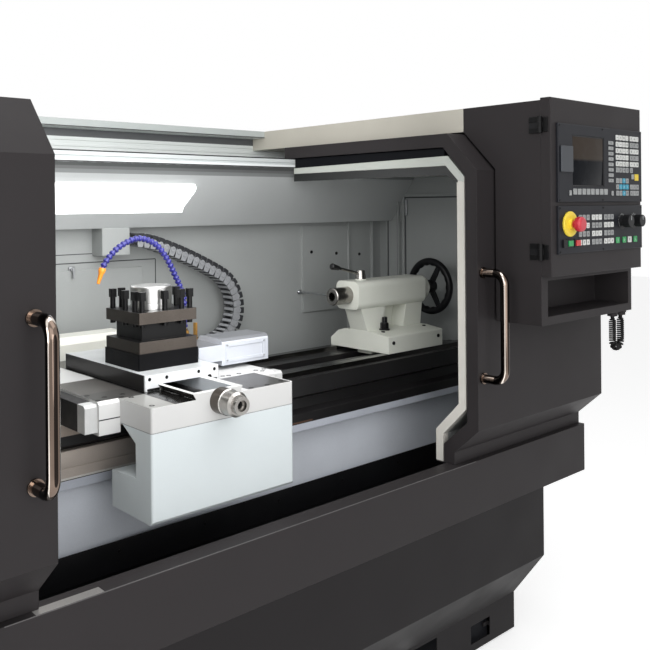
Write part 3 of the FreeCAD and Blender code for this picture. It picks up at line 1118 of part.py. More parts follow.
def panel_door():
    """Hinged front pan that carries both operator units."""
    back = BOX_FRONT - GAP
    pan = block(BOX_LEFT, BOX_RIGHT + 2, PANEL_FRONT, back, PANEL_BOTTOM, PANEL_TOP)
    pan = pan.makeFillet(3, [e for e in along(pan, X_AXIS) + along(pan, Z_AXIS)
                             if e.BoundBox.YMax < PANEL_FRONT + 1])
    pan = pan.cut(block(BOX_LEFT + 2, BOX_RIGHT, PANEL_FRONT + 2, back + 1, PANEL_BOTTOM + 2,
                        PANEL_TOP - 2))
    lips = block(BOX_LEFT, BOX_RIGHT + 2, back - 2, back, PANEL_BOTTOM, PANEL_TOP)
    lips = lips.cut(block(BOX_LEFT + 20, BOX_RIGHT - 18, back - 3, back + 1, PANEL_BOTTOM + 20,
                          PANEL_TOP - 20))
    parts = [pan, lips]
    for z in PANEL_HINGES:
        parts.append(rod(PIN_X, PIN_Y, z - 7.7, 7, 15.4, Z_AXIS))
        parts.append(block(PIN_X, BOX_LEFT + 1, PIN_Y - 6, PIN_Y - 1, z - 7.7, z + 7.7))
        parts.append(block(BOX_LEFT - 4, BOX_LEFT + 1, PANEL_FRONT + 8, PIN_Y - 1, z - 20, z + 20))
    shape = join(*parts)
    for z in PANEL_HINGES:
        shape = shape.cut(rod(PIN_X, PIN_Y, z - 10, 3.5 + FIT, 20, Z_AXIS))
        for lo in (z - 23.3, z + 7.7):
            shape = shape.cut(rod(PIN_X, PIN_Y, lo, 7.4, 15.6, Z_AXIS))
    for low, high in (UPPER_UNIT, LOWER_UNIT):
        shape = shape.cut(block(UNIT_LEFT + 14, UNIT_RIGHT - 14, PANEL_FRONT - 1, PANEL_FRONT + 4,
                                low + 10, high - 10))
    keep("panel_door", shape)


def unit_body(low, high, depth):
    """Bezel plate of one operator unit with the case behind it."""
    face = PANEL_FRONT - UNIT_PROUD
    bezel = block(UNIT_LEFT, UNIT_RIGHT, face, PANEL_FRONT, low, high)
    bezel = bezel.makeFillet(3, [e for e in along(bezel, X_AXIS) + along(bezel, Z_AXIS)
                                 if e.BoundBox.YMax < face + 1])
    case = block(UNIT_LEFT + 16, UNIT_RIGHT - 16, PANEL_FRONT - 1, PANEL_FRONT + depth, low + 12,
                 high - 12)
    return join(bezel, case)


def operator_units():
    """Screen unit with its interface cover, and the machine panel with its controls."""
    face = PANEL_FRONT - UNIT_PROUD
    upper = unit_body(UPPER_UNIT[0], UPPER_UNIT[1], 58)
    x0, x1, z0, z1 = SCREEN
    upper = upper.cut(block(x0, x1, face - 1, face + 3, z0, z1))
    upper = upper.cut(block(742, 795, face - 1, face + 14, 1524, 1588))
    keep("screen_unit", upper)
    flap = join(block(739, 798, face - 5, face - GAP, 1520, 1592),
                rod(FLAP_X, face - 3, 1520, 3, 72, Z_AXIS))
    keep("interface_flap", flap.makeFillet(1.5, [e for e in along(flap, Z_AXIS)
                                                 if e.BoundBox.XMin > 790 and e.BoundBox.YMax < face - 4]))
    lower = unit_body(LOWER_UNIT[0], LOWER_UNIT[1], 46)
    collar = Part.makeCone(35, 31, 6, Vec(ESTOP[0], face, ESTOP[1]), -Y_AXIS)
    neck = rod(ESTOP[0], face - 14, ESTOP[1], 15, 14, Y_AXIS)
    frames = [block(x - 14, x + 14, face - 3, face, z - 11, z + 11) for x, z in (START_KEY, STOP_KEY)]
    lower = join(lower, collar, neck, *frames)
    lower = lower.cut(rod(ESTOP[0], face - 15, ESTOP[1], 9 + 0.2, 50, Y_AXIS))
    for x, z in (START_KEY, STOP_KEY):
        lower = lower.cut(block(x - 11.3, x + 11.3, face - 4, face + 9, z - 8.3, z + 8.3))
    for x, z in KNOBS:
        lower = lower.cut(rod(x, face - 1, z, 3 + FIT, 24, Y_AXIS))
    keep("machine_panel", lower)
    mushroom = Part.makeCone(20, 21, 5, Vec(ESTOP[0], face - 25, ESTOP[1]), -Y_AXIS)
    dome = rod(ESTOP[0], face - 44, ESTOP[1], 21, 14, Y_AXIS)
    dome = dome.makeFillet(8, [e for e in dome.Edges if isinstance(e.Curve, Part.Circle)
                               and e.BoundBox.YMax < face - 43])
    stem = rod(ESTOP[0], face - 26, ESTOP[1], 9, 46, Y_AXIS)
    keep("estop_button", join(mushroom, dome, stem))
    for name, (x, z) in (("start_button", START_KEY), ("stop_button", STOP_KEY)):
        key = block(x - 11, x + 11, face - 7, face + 3, z - 8, z + 8)
        key = key.makeFillet(1.5, [e for e in along(key, X_AXIS) + along(key, Z_AXIS)
                                   if e.BoundBox.YMax < face - 6])
        keep(name, key)
    for name, (x, z) in zip(("feed_knob", "speed_knob"), KNOBS):
        skirt = Part.makeCone(16, 14.5, 8, Vec(x, face - GAP, z), -Y_AXIS)
        body = rod(x, face - 26, z, 14, 19, Y_AXIS)
        shaft = rod(x, face - 10, z, 3, 30, Y_AXIS)
        wing = block(x - 4, x + 4, face - 30, face - 10, z - 15, z + 15)
        keep(name, join(skirt, body, shaft, wing))


FLAP_X = 740.0


def curly_cord():
    """Outer shape of the coiled cord: a fat tube that hangs in a loop under the box."""
    left, right = CORD_LEGS
    bend = (right - left) / 2
    top = BOX_BOTTOM - 16
    low = CORD_DROP + CORD_R
    points = [Vec(left, CORD_Y, top), Vec(left, CORD_Y, low), Vec(right, CORD_Y, low),
              Vec(right, CORD_Y, top)]
    path = rounded_path(points, [bend - 0.01, bend - 0.01])
    section = Part.Wire(Part.makeCircle(CORD_R, points[0], -Z_AXIS))
    shape = path.makePipeShell([section], True, True)
    print("curly cord radii %.1f, run %.1f, length %.1f" % (bend, top - low, path.Length))
    keep("curly_cord", shape)


# ---------------------------------------------------------------- drag chain
CHAIN_Y = 430.0
CHAIN_START = (58.0, 1327.0)
CHAIN_HEADING = -3.0
CHAIN_RUNS = ((75.0, 16.0), (275.0, 10.0), (175.0, 70.0), (125.0, 69.0), (208.0, 0.0))
CHAIN_PITCH = 25.0
CHAIN_WIDTH = 60.0
CHAIN_HEIGHT = 44.0
CHAIN_NOSE = 3.4              # how far each link's end is pointed, so that it can bend


def chain_path():
    """Places and headings of the links, from the cable box round to the saddle, and the end."""
    heading = math.radians(CHAIN_HEADING)
    x, z = CHAIN_START[0] + GAP, CHAIN_START[1]
    steps = []
    for length, turn in CHAIN_RUNS:
        count = max(1, round(length / CHAIN_PITCH))
        for _ in range(count):
            heading -= math.radians(turn) / count / 2
            steps.append((x, z, heading, length / count))
            x += math.cos(heading) * length / count
            z += math.sin(heading) * length / count
            heading -= math.radians(turn) / count / 2
    return steps, (x, z)


def drag_chain():
    """Cable carrier of open frame links, each seated on the next."""
    links = []
    for x, z, heading, length in chain_path()[0]:
        half_w, half_h = CHAIN_WIDTH / 2, CHAIN_HEIGHT / 2
        length -= GAP
        tips = [(0, 0), (CHAIN_NOSE, half_h), (length - CHAIN_NOSE, half_h), (length, 0),
                (length - CHAIN_NOSE, -half_h), (CHAIN_NOSE, -half_h)]
        link = prism_y(tips, -half_w, half_w)
        link = link.cut(block(-1, length + 1, -half_w + 5, half_w - 5, -half_h + 5, half_h - 5))
        link = link.cut(block(length * 0.62, length + 1, -half_w + 12, half_w - 12, -half_h - 1, half_h + 1))
        link.rotate(Vec(0, 0, 0), Y_AXIS, -math.degrees(heading))
        link.translate(Vec(x, CHAIN_Y, z))
        links.append(link)
    keep("drag_chain", Part.makeCompound(links))


def main():
    """Build every sub-part and write one file for each."""
    base_casing()
    leveling_feet()
    chip_tray()
    bed_support()
    bed()
    headstock()
    spindle()
    chuck()
    spindle_drive()
    long_screw_drive()
    for sign in (-1, 1):
        housing(sign)
        door(sign)
        handle(sign)
    rear_enclosure()
    lamp_panel()
    work_light()
    top_beam()
    door_rail()
    electrical_cabinet()
    saddle()
    apron()
    way_wipers()
    cross_screw_housing()
    cross_screw()
    cross_servo()
    cross_slide()
    turret_base()
    turret_head()
    junction_box()
    coolant_line()
    tailstock()
    quill()
    tail_handwheel()
    quill_lever()
    control_box()
    top_duct()
    panel_door()
    operator_units()
    curly_cord()
    drag_chain()
    os.makedirs("parts", exist_ok=True)
    for name, shape in nodes.items():
        placed = shape.copy()
        placed.translate(SHIFT)
        placed.exportStep("parts/%s.step" % name)
    print("nodes", len(nodes), "shift", SHIFT.y)


main()
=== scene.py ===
"""Looks of the flat-bed turning lathe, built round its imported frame.

Sizes are in the machine's own millimetres: X along the bed to the tailstock end, Y to the back and
Z up from the floor. The row frame is the same one moved along Y by SHIFT_Y, in metres.
"""
import logging
import math
from collections.abc import Iterable
from dataclasses import dataclass, field, replace
from enum import Enum

import bmesh
import bpy
from mathutils import Matrix, Vector


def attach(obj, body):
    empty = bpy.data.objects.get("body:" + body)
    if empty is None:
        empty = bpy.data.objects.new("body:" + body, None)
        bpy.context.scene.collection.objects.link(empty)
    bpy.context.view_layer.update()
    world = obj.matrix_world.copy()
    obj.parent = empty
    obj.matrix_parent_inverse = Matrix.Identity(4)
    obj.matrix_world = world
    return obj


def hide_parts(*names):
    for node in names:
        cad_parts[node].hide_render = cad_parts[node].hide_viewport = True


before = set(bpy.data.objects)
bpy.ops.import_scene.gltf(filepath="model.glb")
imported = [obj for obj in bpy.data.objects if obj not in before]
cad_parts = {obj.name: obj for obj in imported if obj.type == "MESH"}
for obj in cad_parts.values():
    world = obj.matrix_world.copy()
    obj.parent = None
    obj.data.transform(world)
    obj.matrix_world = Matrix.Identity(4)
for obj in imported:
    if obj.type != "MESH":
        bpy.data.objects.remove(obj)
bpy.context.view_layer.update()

LOG = logging.getLogger("lathe")
MM = 0.001
SHIFT_Y = -56.5

Span = tuple[float, float]
Point = tuple[float, float, float]
Rgb = tuple[int, int, int]
Quad = tuple[float, float, float, float]


def at(x: float, y: float, z: float) -> Vector:
    """Point of the row frame, in metres, for a place on the machine in millimetres."""
    return Vector((x, y + SHIFT_Y, z)) * MM


def linear(colour: Rgb) -> Quad:
    """Scene-linear colour.

    Args:
        colour: Red, green and blue as they look, 0 to 255.

    Returns:
        The linear colour, with an opaque fourth part.
    """
    parts = [c / 255 for c in colour]
    out = [c / 12.92 if c <= 0.04045 else ((c + 0.055) / 1.055) ** 2.4 for c in parts]
    return (out[0], out[1], out[2], 1.0)


class Axis(Enum):
    """Direction that a piece is extruded or turned along."""

    X = 0
    Y = 1
    Z = 2


Facing = tuple[Axis, float, float]


def about(middle: float, half: float) -> Span:
    """Span round a middle."""
    return (middle - half, middle + half)


def mirrored(side: int, inner: float, outer: float) -> Span:
    """Span of two distances from the machine's middle, on the side that 1 or -1 stands for."""
    low, high = sorted((side * inner, side * outer))
    return (low, high)


# ---------------------------------------------------------------- finishes
class Tree:
    """Node tree of one finish, built link by link round one Principled shader."""

    def __init__(self, name: str) -> None:
        """Starts a material with its object coordinates at hand.

        Args:
            name: Name of the material.
        """
        self.material = bpy.data.materials.new(name)
        self.material.use_nodes = True
        self.nodes = self.material.node_tree.nodes
        self.links = self.material.node_tree.links
        self.shader = self.nodes["Principled BSDF"]
        coordinates = self.nodes.new("ShaderNodeTexCoord")
        self.place = coordinates.outputs["Object"]
        self.facing = coordinates.outputs["Normal"]
        self._parts: dict[str, bpy.types.Node] = {}

    def put(self, socket: bpy.types.NodeSocket, value: object) -> None:
        """Links or sets one socket.

        Args:
            socket: Socket of a node's input.
            value: Socket that is linked to it, or the value that it gets.
        """
        if isinstance(value, bpy.types.NodeSocket):
            self.links.new(value, socket)
        else:
            socket.default_value = value

    def shade(self, values: dict[str, object]) -> bpy.types.Material:
        """Links or sets sockets of the shader.

        Args:
            values: Socket or value for each of the shader's inputs, by name.

        Returns:
            The finished material.
        """
        for name, value in values.items():
            self.put(self.shader.inputs[name], value)
        return self.material

    def sum(self, operation: str, a: object, b: object = 0.0) -> bpy.types.NodeSocket:
        """Result of a math node.

        Args:
            operation: Name of the operation.
            a: First number or socket.
            b: Second number or socket.

        Returns:
            The value's socket.
        """
        node = self.nodes.new("ShaderNodeMath")
        node.operation = operation
        self.put(node.inputs[0], a)
        self.put(node.inputs[1], b)
        return node.outputs[0]

    def along(self, source: bpy.types.NodeSocket, axis: Axis) -> bpy.types.NodeSocket:
        """One component of a vector.

        Args:
            source: Socket of the vector.
            axis: Which component.

        Returns:
            The component's socket.
        """
        key = source.name
        if key not in self._parts:
            self._parts[key] = self.nodes.new("ShaderNodeSeparateXYZ")
            self.links.new(source, self._parts[key].inputs[0])
        return self._parts[key].outputs[axis.value]

    def grain(self, size: float, detail: float = 2.0, stretch: Point = (1.0, 1.0, 1.0)
              ) -> bpy.types.NodeSocket:
        """Noise over the object.

        Args:
            size: Size of one grain in millimetres.
            detail: Finer layers on top of it.
            stretch: How much longer the grain is along each axis.

        Returns:
            The noise, about 0.5 in the middle.
        """
        mapping = self.nodes.new("ShaderNodeMapping")
        self.links.new(self.place, mapping.inputs["Vector"])
        mapping.inputs["Scale"].default_value = tuple(1000 / size / s for s in stretch)
        node = self.nodes.new("ShaderNodeTexNoise")
        node.inputs["Scale"].default_value = 1.0
        node.inputs["Detail"].default_value = detail
        self.links.new(mapping.outputs[0], node.inputs["Vector"])
        return node.outputs["Fac"]

    def spread(self, value: bpy.types.NodeSocket, span: Span, out: Span = (0.0, 1.0)
               ) -> bpy.types.NodeSocket:
        """Value taken from one span to another, and held at its ends.

        Args:
            value: Socket to read.
            span: Values that give the ends of out.
            out: First and last result.

        Returns:
            The result's socket.
        """
        node = self.nodes.new("ShaderNodeMapRange")
        node.inputs["From Min"].default_value, node.inputs["From Max"].default_value = span
        node.inputs["To Min"].default_value, node.inputs["To Max"].default_value = out
        self.links.new(value, node.inputs["Value"])
        return node.outputs[0]

    def tint(self, share: object, base: object, over: object) -> bpy.types.NodeSocket:
        """Colour mixed from two.

        Args:
            share: How much of the second, 0 to 1.
            base: First colour or socket.
            over: Second colour or socket.

        Returns:
            The colour's socket.
        """
        node = self.nodes.new("ShaderNodeMix")
        node.data_type = "RGBA"
        self.put(node.inputs["Factor"], share)
        self.put(node.inputs[6], base)
        self.put(node.inputs[7], over)
        return node.outputs[2]

    def level(self, share: object, base: object, over: object) -> bpy.types.NodeSocket:
        """Number mixed from two.

        Args:
            share: How much of the second, 0 to 1.
            base: First number or socket.
            over: Second number or socket.

        Returns:
            The number's socket.
        """
        node = self.nodes.new("ShaderNodeMix")
        self.put(node.inputs["Factor"], share)
        self.put(node.inputs[2], base)
        self.put(node.inputs[3], over)
        return node.outputs[0]

    def within(self, value: bpy.types.NodeSocket, span: Span) -> bpy.types.NodeSocket:
        """1 where a value lies in a span, and 0 elsewhere."""
        low = self.sum("GREATER_THAN", value, span[0])
        return self.sum("MULTIPLY", low, self.sum("LESS_THAN", value, span[1]))

    def ease(self, reach: float) -> tuple[bpy.types.NodeSocket, bpy.types.NodeSocket]:
        """Softened normal and the mask of the edges that it softens.

        Args:
            reach: Radius of the softened edge in millimetres.

        Returns:
            The normal, and a mask that is 1 on sharp edges.
        """
        bevel = self.nodes.new("ShaderNodeBevel")
        bevel.samples = 4
        bevel.inputs["Radius"].default_value = reach * MM
        flat = self.nodes.new("ShaderNodeNewGeometry")
        dot = self.nodes.new("ShaderNodeVectorMath")
        dot.operation = "DOT_PRODUCT"
        self.links.new(bevel.outputs[0], dot.inputs[0])
        self.links.new(flat.outputs["Normal"], dot.inputs[1])
        return bevel.outputs[0], self.spread(dot.outputs["Value"], (0.99, 0.8))

    def bump(self, height: bpy.types.NodeSocket, depth: float,
             under: bpy.types.NodeSocket | None = None) -> bpy.types.NodeSocket:
        """Normal raised by a height.

        Args:
            height: Height from 0 to 1.
            depth: Millimetres that a height of 1 stands up.
            under: Normal that the height is laid on.

        Returns:
            The normal's socket.
        """
        node = self.nodes.new("ShaderNodeBump")
        node.inputs["Strength"].default_value = 1.0
        node.inputs["Distance"].default_value = depth * MM
        self.links.new(height, node.inputs["Height"])
        if under is not None:
            self.links.new(under, node.inputs["Normal"])
        return node.outputs[0]


@dataclass(frozen=True)
class Zone:
    """Part of a node that has a finish of its own, by place and by the way it faces."""

    colour: Rgb
    rough: float
    metal: float = 0.0
    x: Span | None = None
    y: Span | None = None
    z: Span | None = None
    faces: Facing | None = None
    fade: Span | None = None

    def mask(self, tree: Tree) -> bpy.types.NodeSocket:
        """Mask of the zone.

        Args:
            tree: Tree that the mask is built in.

        Returns:
            1 inside the zone, less where it fades, and 0 outside.
        """
        total: object = 1.0
        spans = ((Axis.X, self.x, 0.0), (Axis.Y, self.y, SHIFT_Y), (Axis.Z, self.z, 0.0))
        for axis, span, shift in spans:
            if span is not None:
                limits = ((span[0] + shift) * MM, (span[1] + shift) * MM)
                inside = tree.within(tree.along(tree.place, axis), limits)
                total = tree.sum("MULTIPLY", inside, total)
        if self.fade is not None:
            limits = (self.fade[0] * MM, self.fade[1] * MM)
            run = tree.spread(tree.along(tree.place, Axis.X), limits)
            total = tree.sum("MULTIPLY", run, total)
        if self.faces is not None:
            axis, low, high = self.faces
            inside = tree.within(tree.along(tree.facing, axis), (low, high))
            total = tree.sum("MULTIPLY", inside, total)
        return total


# Middle part of the noise, from its darkest to its lightest.
SOFT: Span = (0.3, 0.7)


def toned(colour: Quad, share: float) -> Quad:
    """Colour made lighter or darker by a share of itself."""
    return tuple(min(1.0, c * (1 + share)) for c in colour[:3]) + (1.0,)


@dataclass(frozen=True)
class Finish:
    """Paint, plastic or metal with its grain, its drift of tone and its worn edges."""

    name: str
    colour: Rgb
    rough: float = 0.5
    metal: float = 0.0
    grain: float = 1.4
    depth: float = 0.02
    stretch: Point = (1.0, 1.0, 1.0)
    drift: float = 0.06
    drift_size: float = 160.0
    edge: Rgb | None = None
    edge_share: float = 0.5
    ease: float = 1.2
    coat: float = 0.0
    shine: float = 0.5
    zones: tuple[Zone, ...] = ()

    def kin(self, name: str, colour: Rgb, **changes: object) -> "Finish":
        """Finish of the same kind.

        Args:
            name: Its own name.
            colour: Its own colour.
            changes: Other values that differ.

        Returns:
            The new finish.
        """
        return replace(self, name=name, colour=colour, **changes)

    def build(self) -> bpy.types.Material:
        """Builds the finish.

        Returns:
            Its material.
        """
        tree = Tree(self.name)
        soft, edges = tree.ease(self.ease)
        fine = tree.grain(self.grain, 2.0, self.stretch)
        broad = tree.grain(self.drift_size, 4.0)
        base = linear(self.colour)
        colour = tree.tint(tree.spread(broad, SOFT), toned(base, -self.drift), toned(base, self.drift))
        rough = tree.spread(broad, SOFT, (self.rough * 0.9, min(1.0, self.rough * 1.12)))
        metal: object = self.metal
        for zone in self.zones:
            mask = zone.mask(tree)
            shade = linear(zone.colour)
            zoned = tree.tint(tree.spread(broad, (0.35, 0.65)), toned(shade, -self.drift), shade)
            colour = tree.tint(mask, colour, zoned)
            rough = tree.level(mask, rough, zone.rough)
            if zone.metal != self.metal or isinstance(metal, bpy.types.NodeSocket):
                metal = tree.level(mask, metal, zone.metal)
        speck = tree.spread(fine, (0.32, 0.75), about(1, 0.6 * self.drift))
        scale = tree.nodes.new("ShaderNodeVectorMath")
        scale.operation = "SCALE"
        tree.put(scale.inputs[0], colour)
        tree.put(scale.inputs["Scale"], speck)
        colour = scale.outputs[0]
        if self.edge is not None:
            worn = tree.sum("MULTIPLY", edges, tree.spread(tree.grain(14.0, 3.0), (0.4, 0.62)))
            colour = tree.tint(tree.sum("MULTIPLY", worn, self.edge_share), colour, linear(self.edge))
        grit = tree.spread(fine, SOFT, (-0.03, 0.03))
        values = {"Base Color": colour, "Roughness": tree.sum("ADD", rough, grit), "Metallic": metal,
                  "Normal": tree.bump(fine, self.depth, soft), "Specular IOR Level": self.shine}
        if self.coat:
            values |= {"Coat Weight": self.coat, "Coat Roughness": 0.12}
        return tree.shade(values)


@dataclass(frozen=True)
class Glow:
    """Lit diffuser of a lamp, with fine ribs along it."""

    name: str
    colour: Rgb
    strength: float

    def build(self) -> bpy.types.Material:
        """Builds the lens, which gives light.

        Returns:
            Its material.
        """
        tree = Tree(self.name)
        ribs = tree.grain(3.0, 1.0, (40.0, 1.0, 1.0))
        tone = tree.tint(tree.spread(ribs, SOFT), linear((236, 240, 242)), linear(self.colour))
        return tree.shade({
            "Base Color": tone, "Emission Color": linear(self.colour),
            "Emission Strength": self.strength, "Roughness": tree.spread(ribs, SOFT, (0.3, 0.4)),
            "Normal": tree.bump(ribs, 0.3)})


@dataclass(frozen=True)
class DarkGlass:
    """Black glass of the screen that is switched off, paler above from a painted reflection, with a faint
    film of dust.
    """

    name: str
    colour: Rgb
    painted_reflection_from: Span = (1552.0, 1560.0)
    painted_reflection_share: float = 0.8

    def build(self) -> bpy.types.Material:
        """Builds the glass.

        Returns:
            Its material.
        """
        tree = Tree(self.name)
        film = tree.grain(26.0, 3.0)
        height = tree.along(tree.place, Axis.Z)
        # The brownish tint on the upper part is a painted reflection.
        upper = tree.spread(height, (self.painted_reflection_from[0] * MM, self.painted_reflection_from[1] * MM))
        share = tree.sum("MULTIPLY", upper, self.painted_reflection_share)
        tone = tree.tint(share, linear(self.colour), linear((70, 62, 55)))
        tone = tree.tint(tree.spread(film, (0.5, 0.9), (0.0, 0.05)), tone, linear((120, 124, 130)))
        return tree.shade({
            "Base Color": tone, "Roughness": tree.spread(film, SOFT, (0.06, 0.14)),
            "Normal": tree.bump(film, 0.02), "Specular IOR Level": 0.04})


CHARCOAL: Rgb = (48, 45, 46)
WAY_FACE: Rgb = (208, 196, 186)
INTERIOR: Rgb = (160, 163, 162)
# Black of the painted shadow lines along the door rail's top and bottom.
GAP_SHADOW_BLACK: Rgb = (30, 30, 31)
YELLOW: Rgb = (250, 222, 70)
# Stretch of the front way shown with its bright ground faces; right of it they stay black as painted
# shade.
LEFT_WAY: Span = (-1230.0, 84.0)
WAY_FADE: Span = (84.0, -300.0)
WAY_FRONT: Span = (-60.0, -20.0)
SADDLE_TOP: Span = (982.5, 983.4)
BEAM_LIP: Span = (559.0, 563.0)
RAIL_FRONT: Span = (299.0, 306.0)
POST_PLATES: tuple[Span, Span] = ((1063.0, 1093.2), (1137.3, 1166.8))
# Spans of the pulls' grips and of their feet, where the painted reflection is laid.
PULL_TUBE: Span = (-600.0, -552.0)
PULL_FEET: Span = (-552.0, -500.0)
UPWARD: Facing = (Axis.Z, 0.5, 1.1)
TO_FRONT: Facing = (Axis.Y, -1.1, -0.5)
TO_LEFT: Facing = (Axis.X, -1.1, -0.5)
TO_RIGHT: Facing = (Axis.X, 0.5, 1.1)
OUT_BACK = Zone(CHARCOAL, 0.5, y=(575.0, 900.0))
OUT_LEFT = Zone(CHARCOAL, 0.5, x=(-1400.0, -1304.5))
OUT_RIGHT = Zone(CHARCOAL, 0.5, x=(1304.5, 1400.0))


def way_zone(colour: Rgb, rough: float, metal: float, x: Span, z: Span) -> Zone:
    """Zone on the front way's side; on the left way it fades into the painted shade of the rest."""
    return Zone(colour, rough, metal, x, WAY_FRONT, z, fade=WAY_FADE if x == LEFT_WAY else None)


def saddle_zone(colour: Rgb, rough: float, metal: float, x: Span, y: Span) -> Zone:
    """Zone on the saddle's top face."""
    return Zone(colour, rough, metal, x, y, SADDLE_TOP)


# The first finish of each kind, from which the others of its kind are varied.
COATED = Finish("charcoal_coat", CHARCOAL, 0.5, grain=1.1, depth=0.018, drift=0.05, edge=(96, 92, 92),
                edge_share=0.3, ease=2.2, shine=0.15)
FRAMED = Finish("beige_coat", (202, 198, 186), 0.42, grain=1.3, depth=0.015, drift=0.03,
                edge=(226, 222, 214), edge_share=0.4, ease=2.0)
INNER = Finish("interior_coat", INTERIOR, 0.38, grain=1.6, depth=0.02, drift=0.05, drift_size=320.0,
               edge=(196, 200, 200), ease=2.0)
CAST = Finish("cream_casting", (228, 228, 219), 0.34, grain=2.4, depth=0.05, drift=0.025,
              edge=(242, 242, 234), edge_share=0.4, ease=3.0)
STEEL = Finish("turned_steel", (176, 174, 170), 0.26, 1.0, grain=0.7, depth=0.006,
               stretch=(12.0, 1.0, 12.0), drift=0.08, drift_size=30.0, edge=(232, 230, 226),
               edge_share=0.6, ease=0.7)
RUBBER = Finish("black_rubber", (18, 17, 18), 0.62, grain=0.9, depth=0.03, drift=0.1, drift_size=30.0,
                edge=(50, 49, 50), edge_share=0.3, ease=0.8, shine=0.25)
PANEL = Finish("panel_plastic", (30, 31, 36), 0.46, grain=0.7, depth=0.012, drift=0.04, drift_size=90.0,
               edge=(104, 113, 120), edge_share=0.6, ease=0.9, shine=0.2)
KEY = Finish("key_white", (226, 227, 224), 0.44, grain=0.6, depth=0.006, drift=0.02, drift_size=14.0,
             edge=(250, 250, 248), edge_share=0.3, ease=0.4)
PRINT = Finish("print_dark", (52, 56, 62), grain=0.5, depth=0.004, drift=0.05, drift_size=10.0, ease=0.3)
BUTTON = Finish("green_plastic", (34, 158, 84), 0.36, grain=0.8, depth=0.008, drift=0.05,
                drift_size=14.0, edge=(96, 206, 132), edge_share=0.35, ease=0.5, coat=0.2)
LINK = Finish("chain_dark", (44, 45, 48), 0.45, grain=1.0, depth=0.012, drift=0.1, drift_size=22.0,
              edge=(120, 122, 126), edge_share=0.4, ease=0.7, shine=0.3)

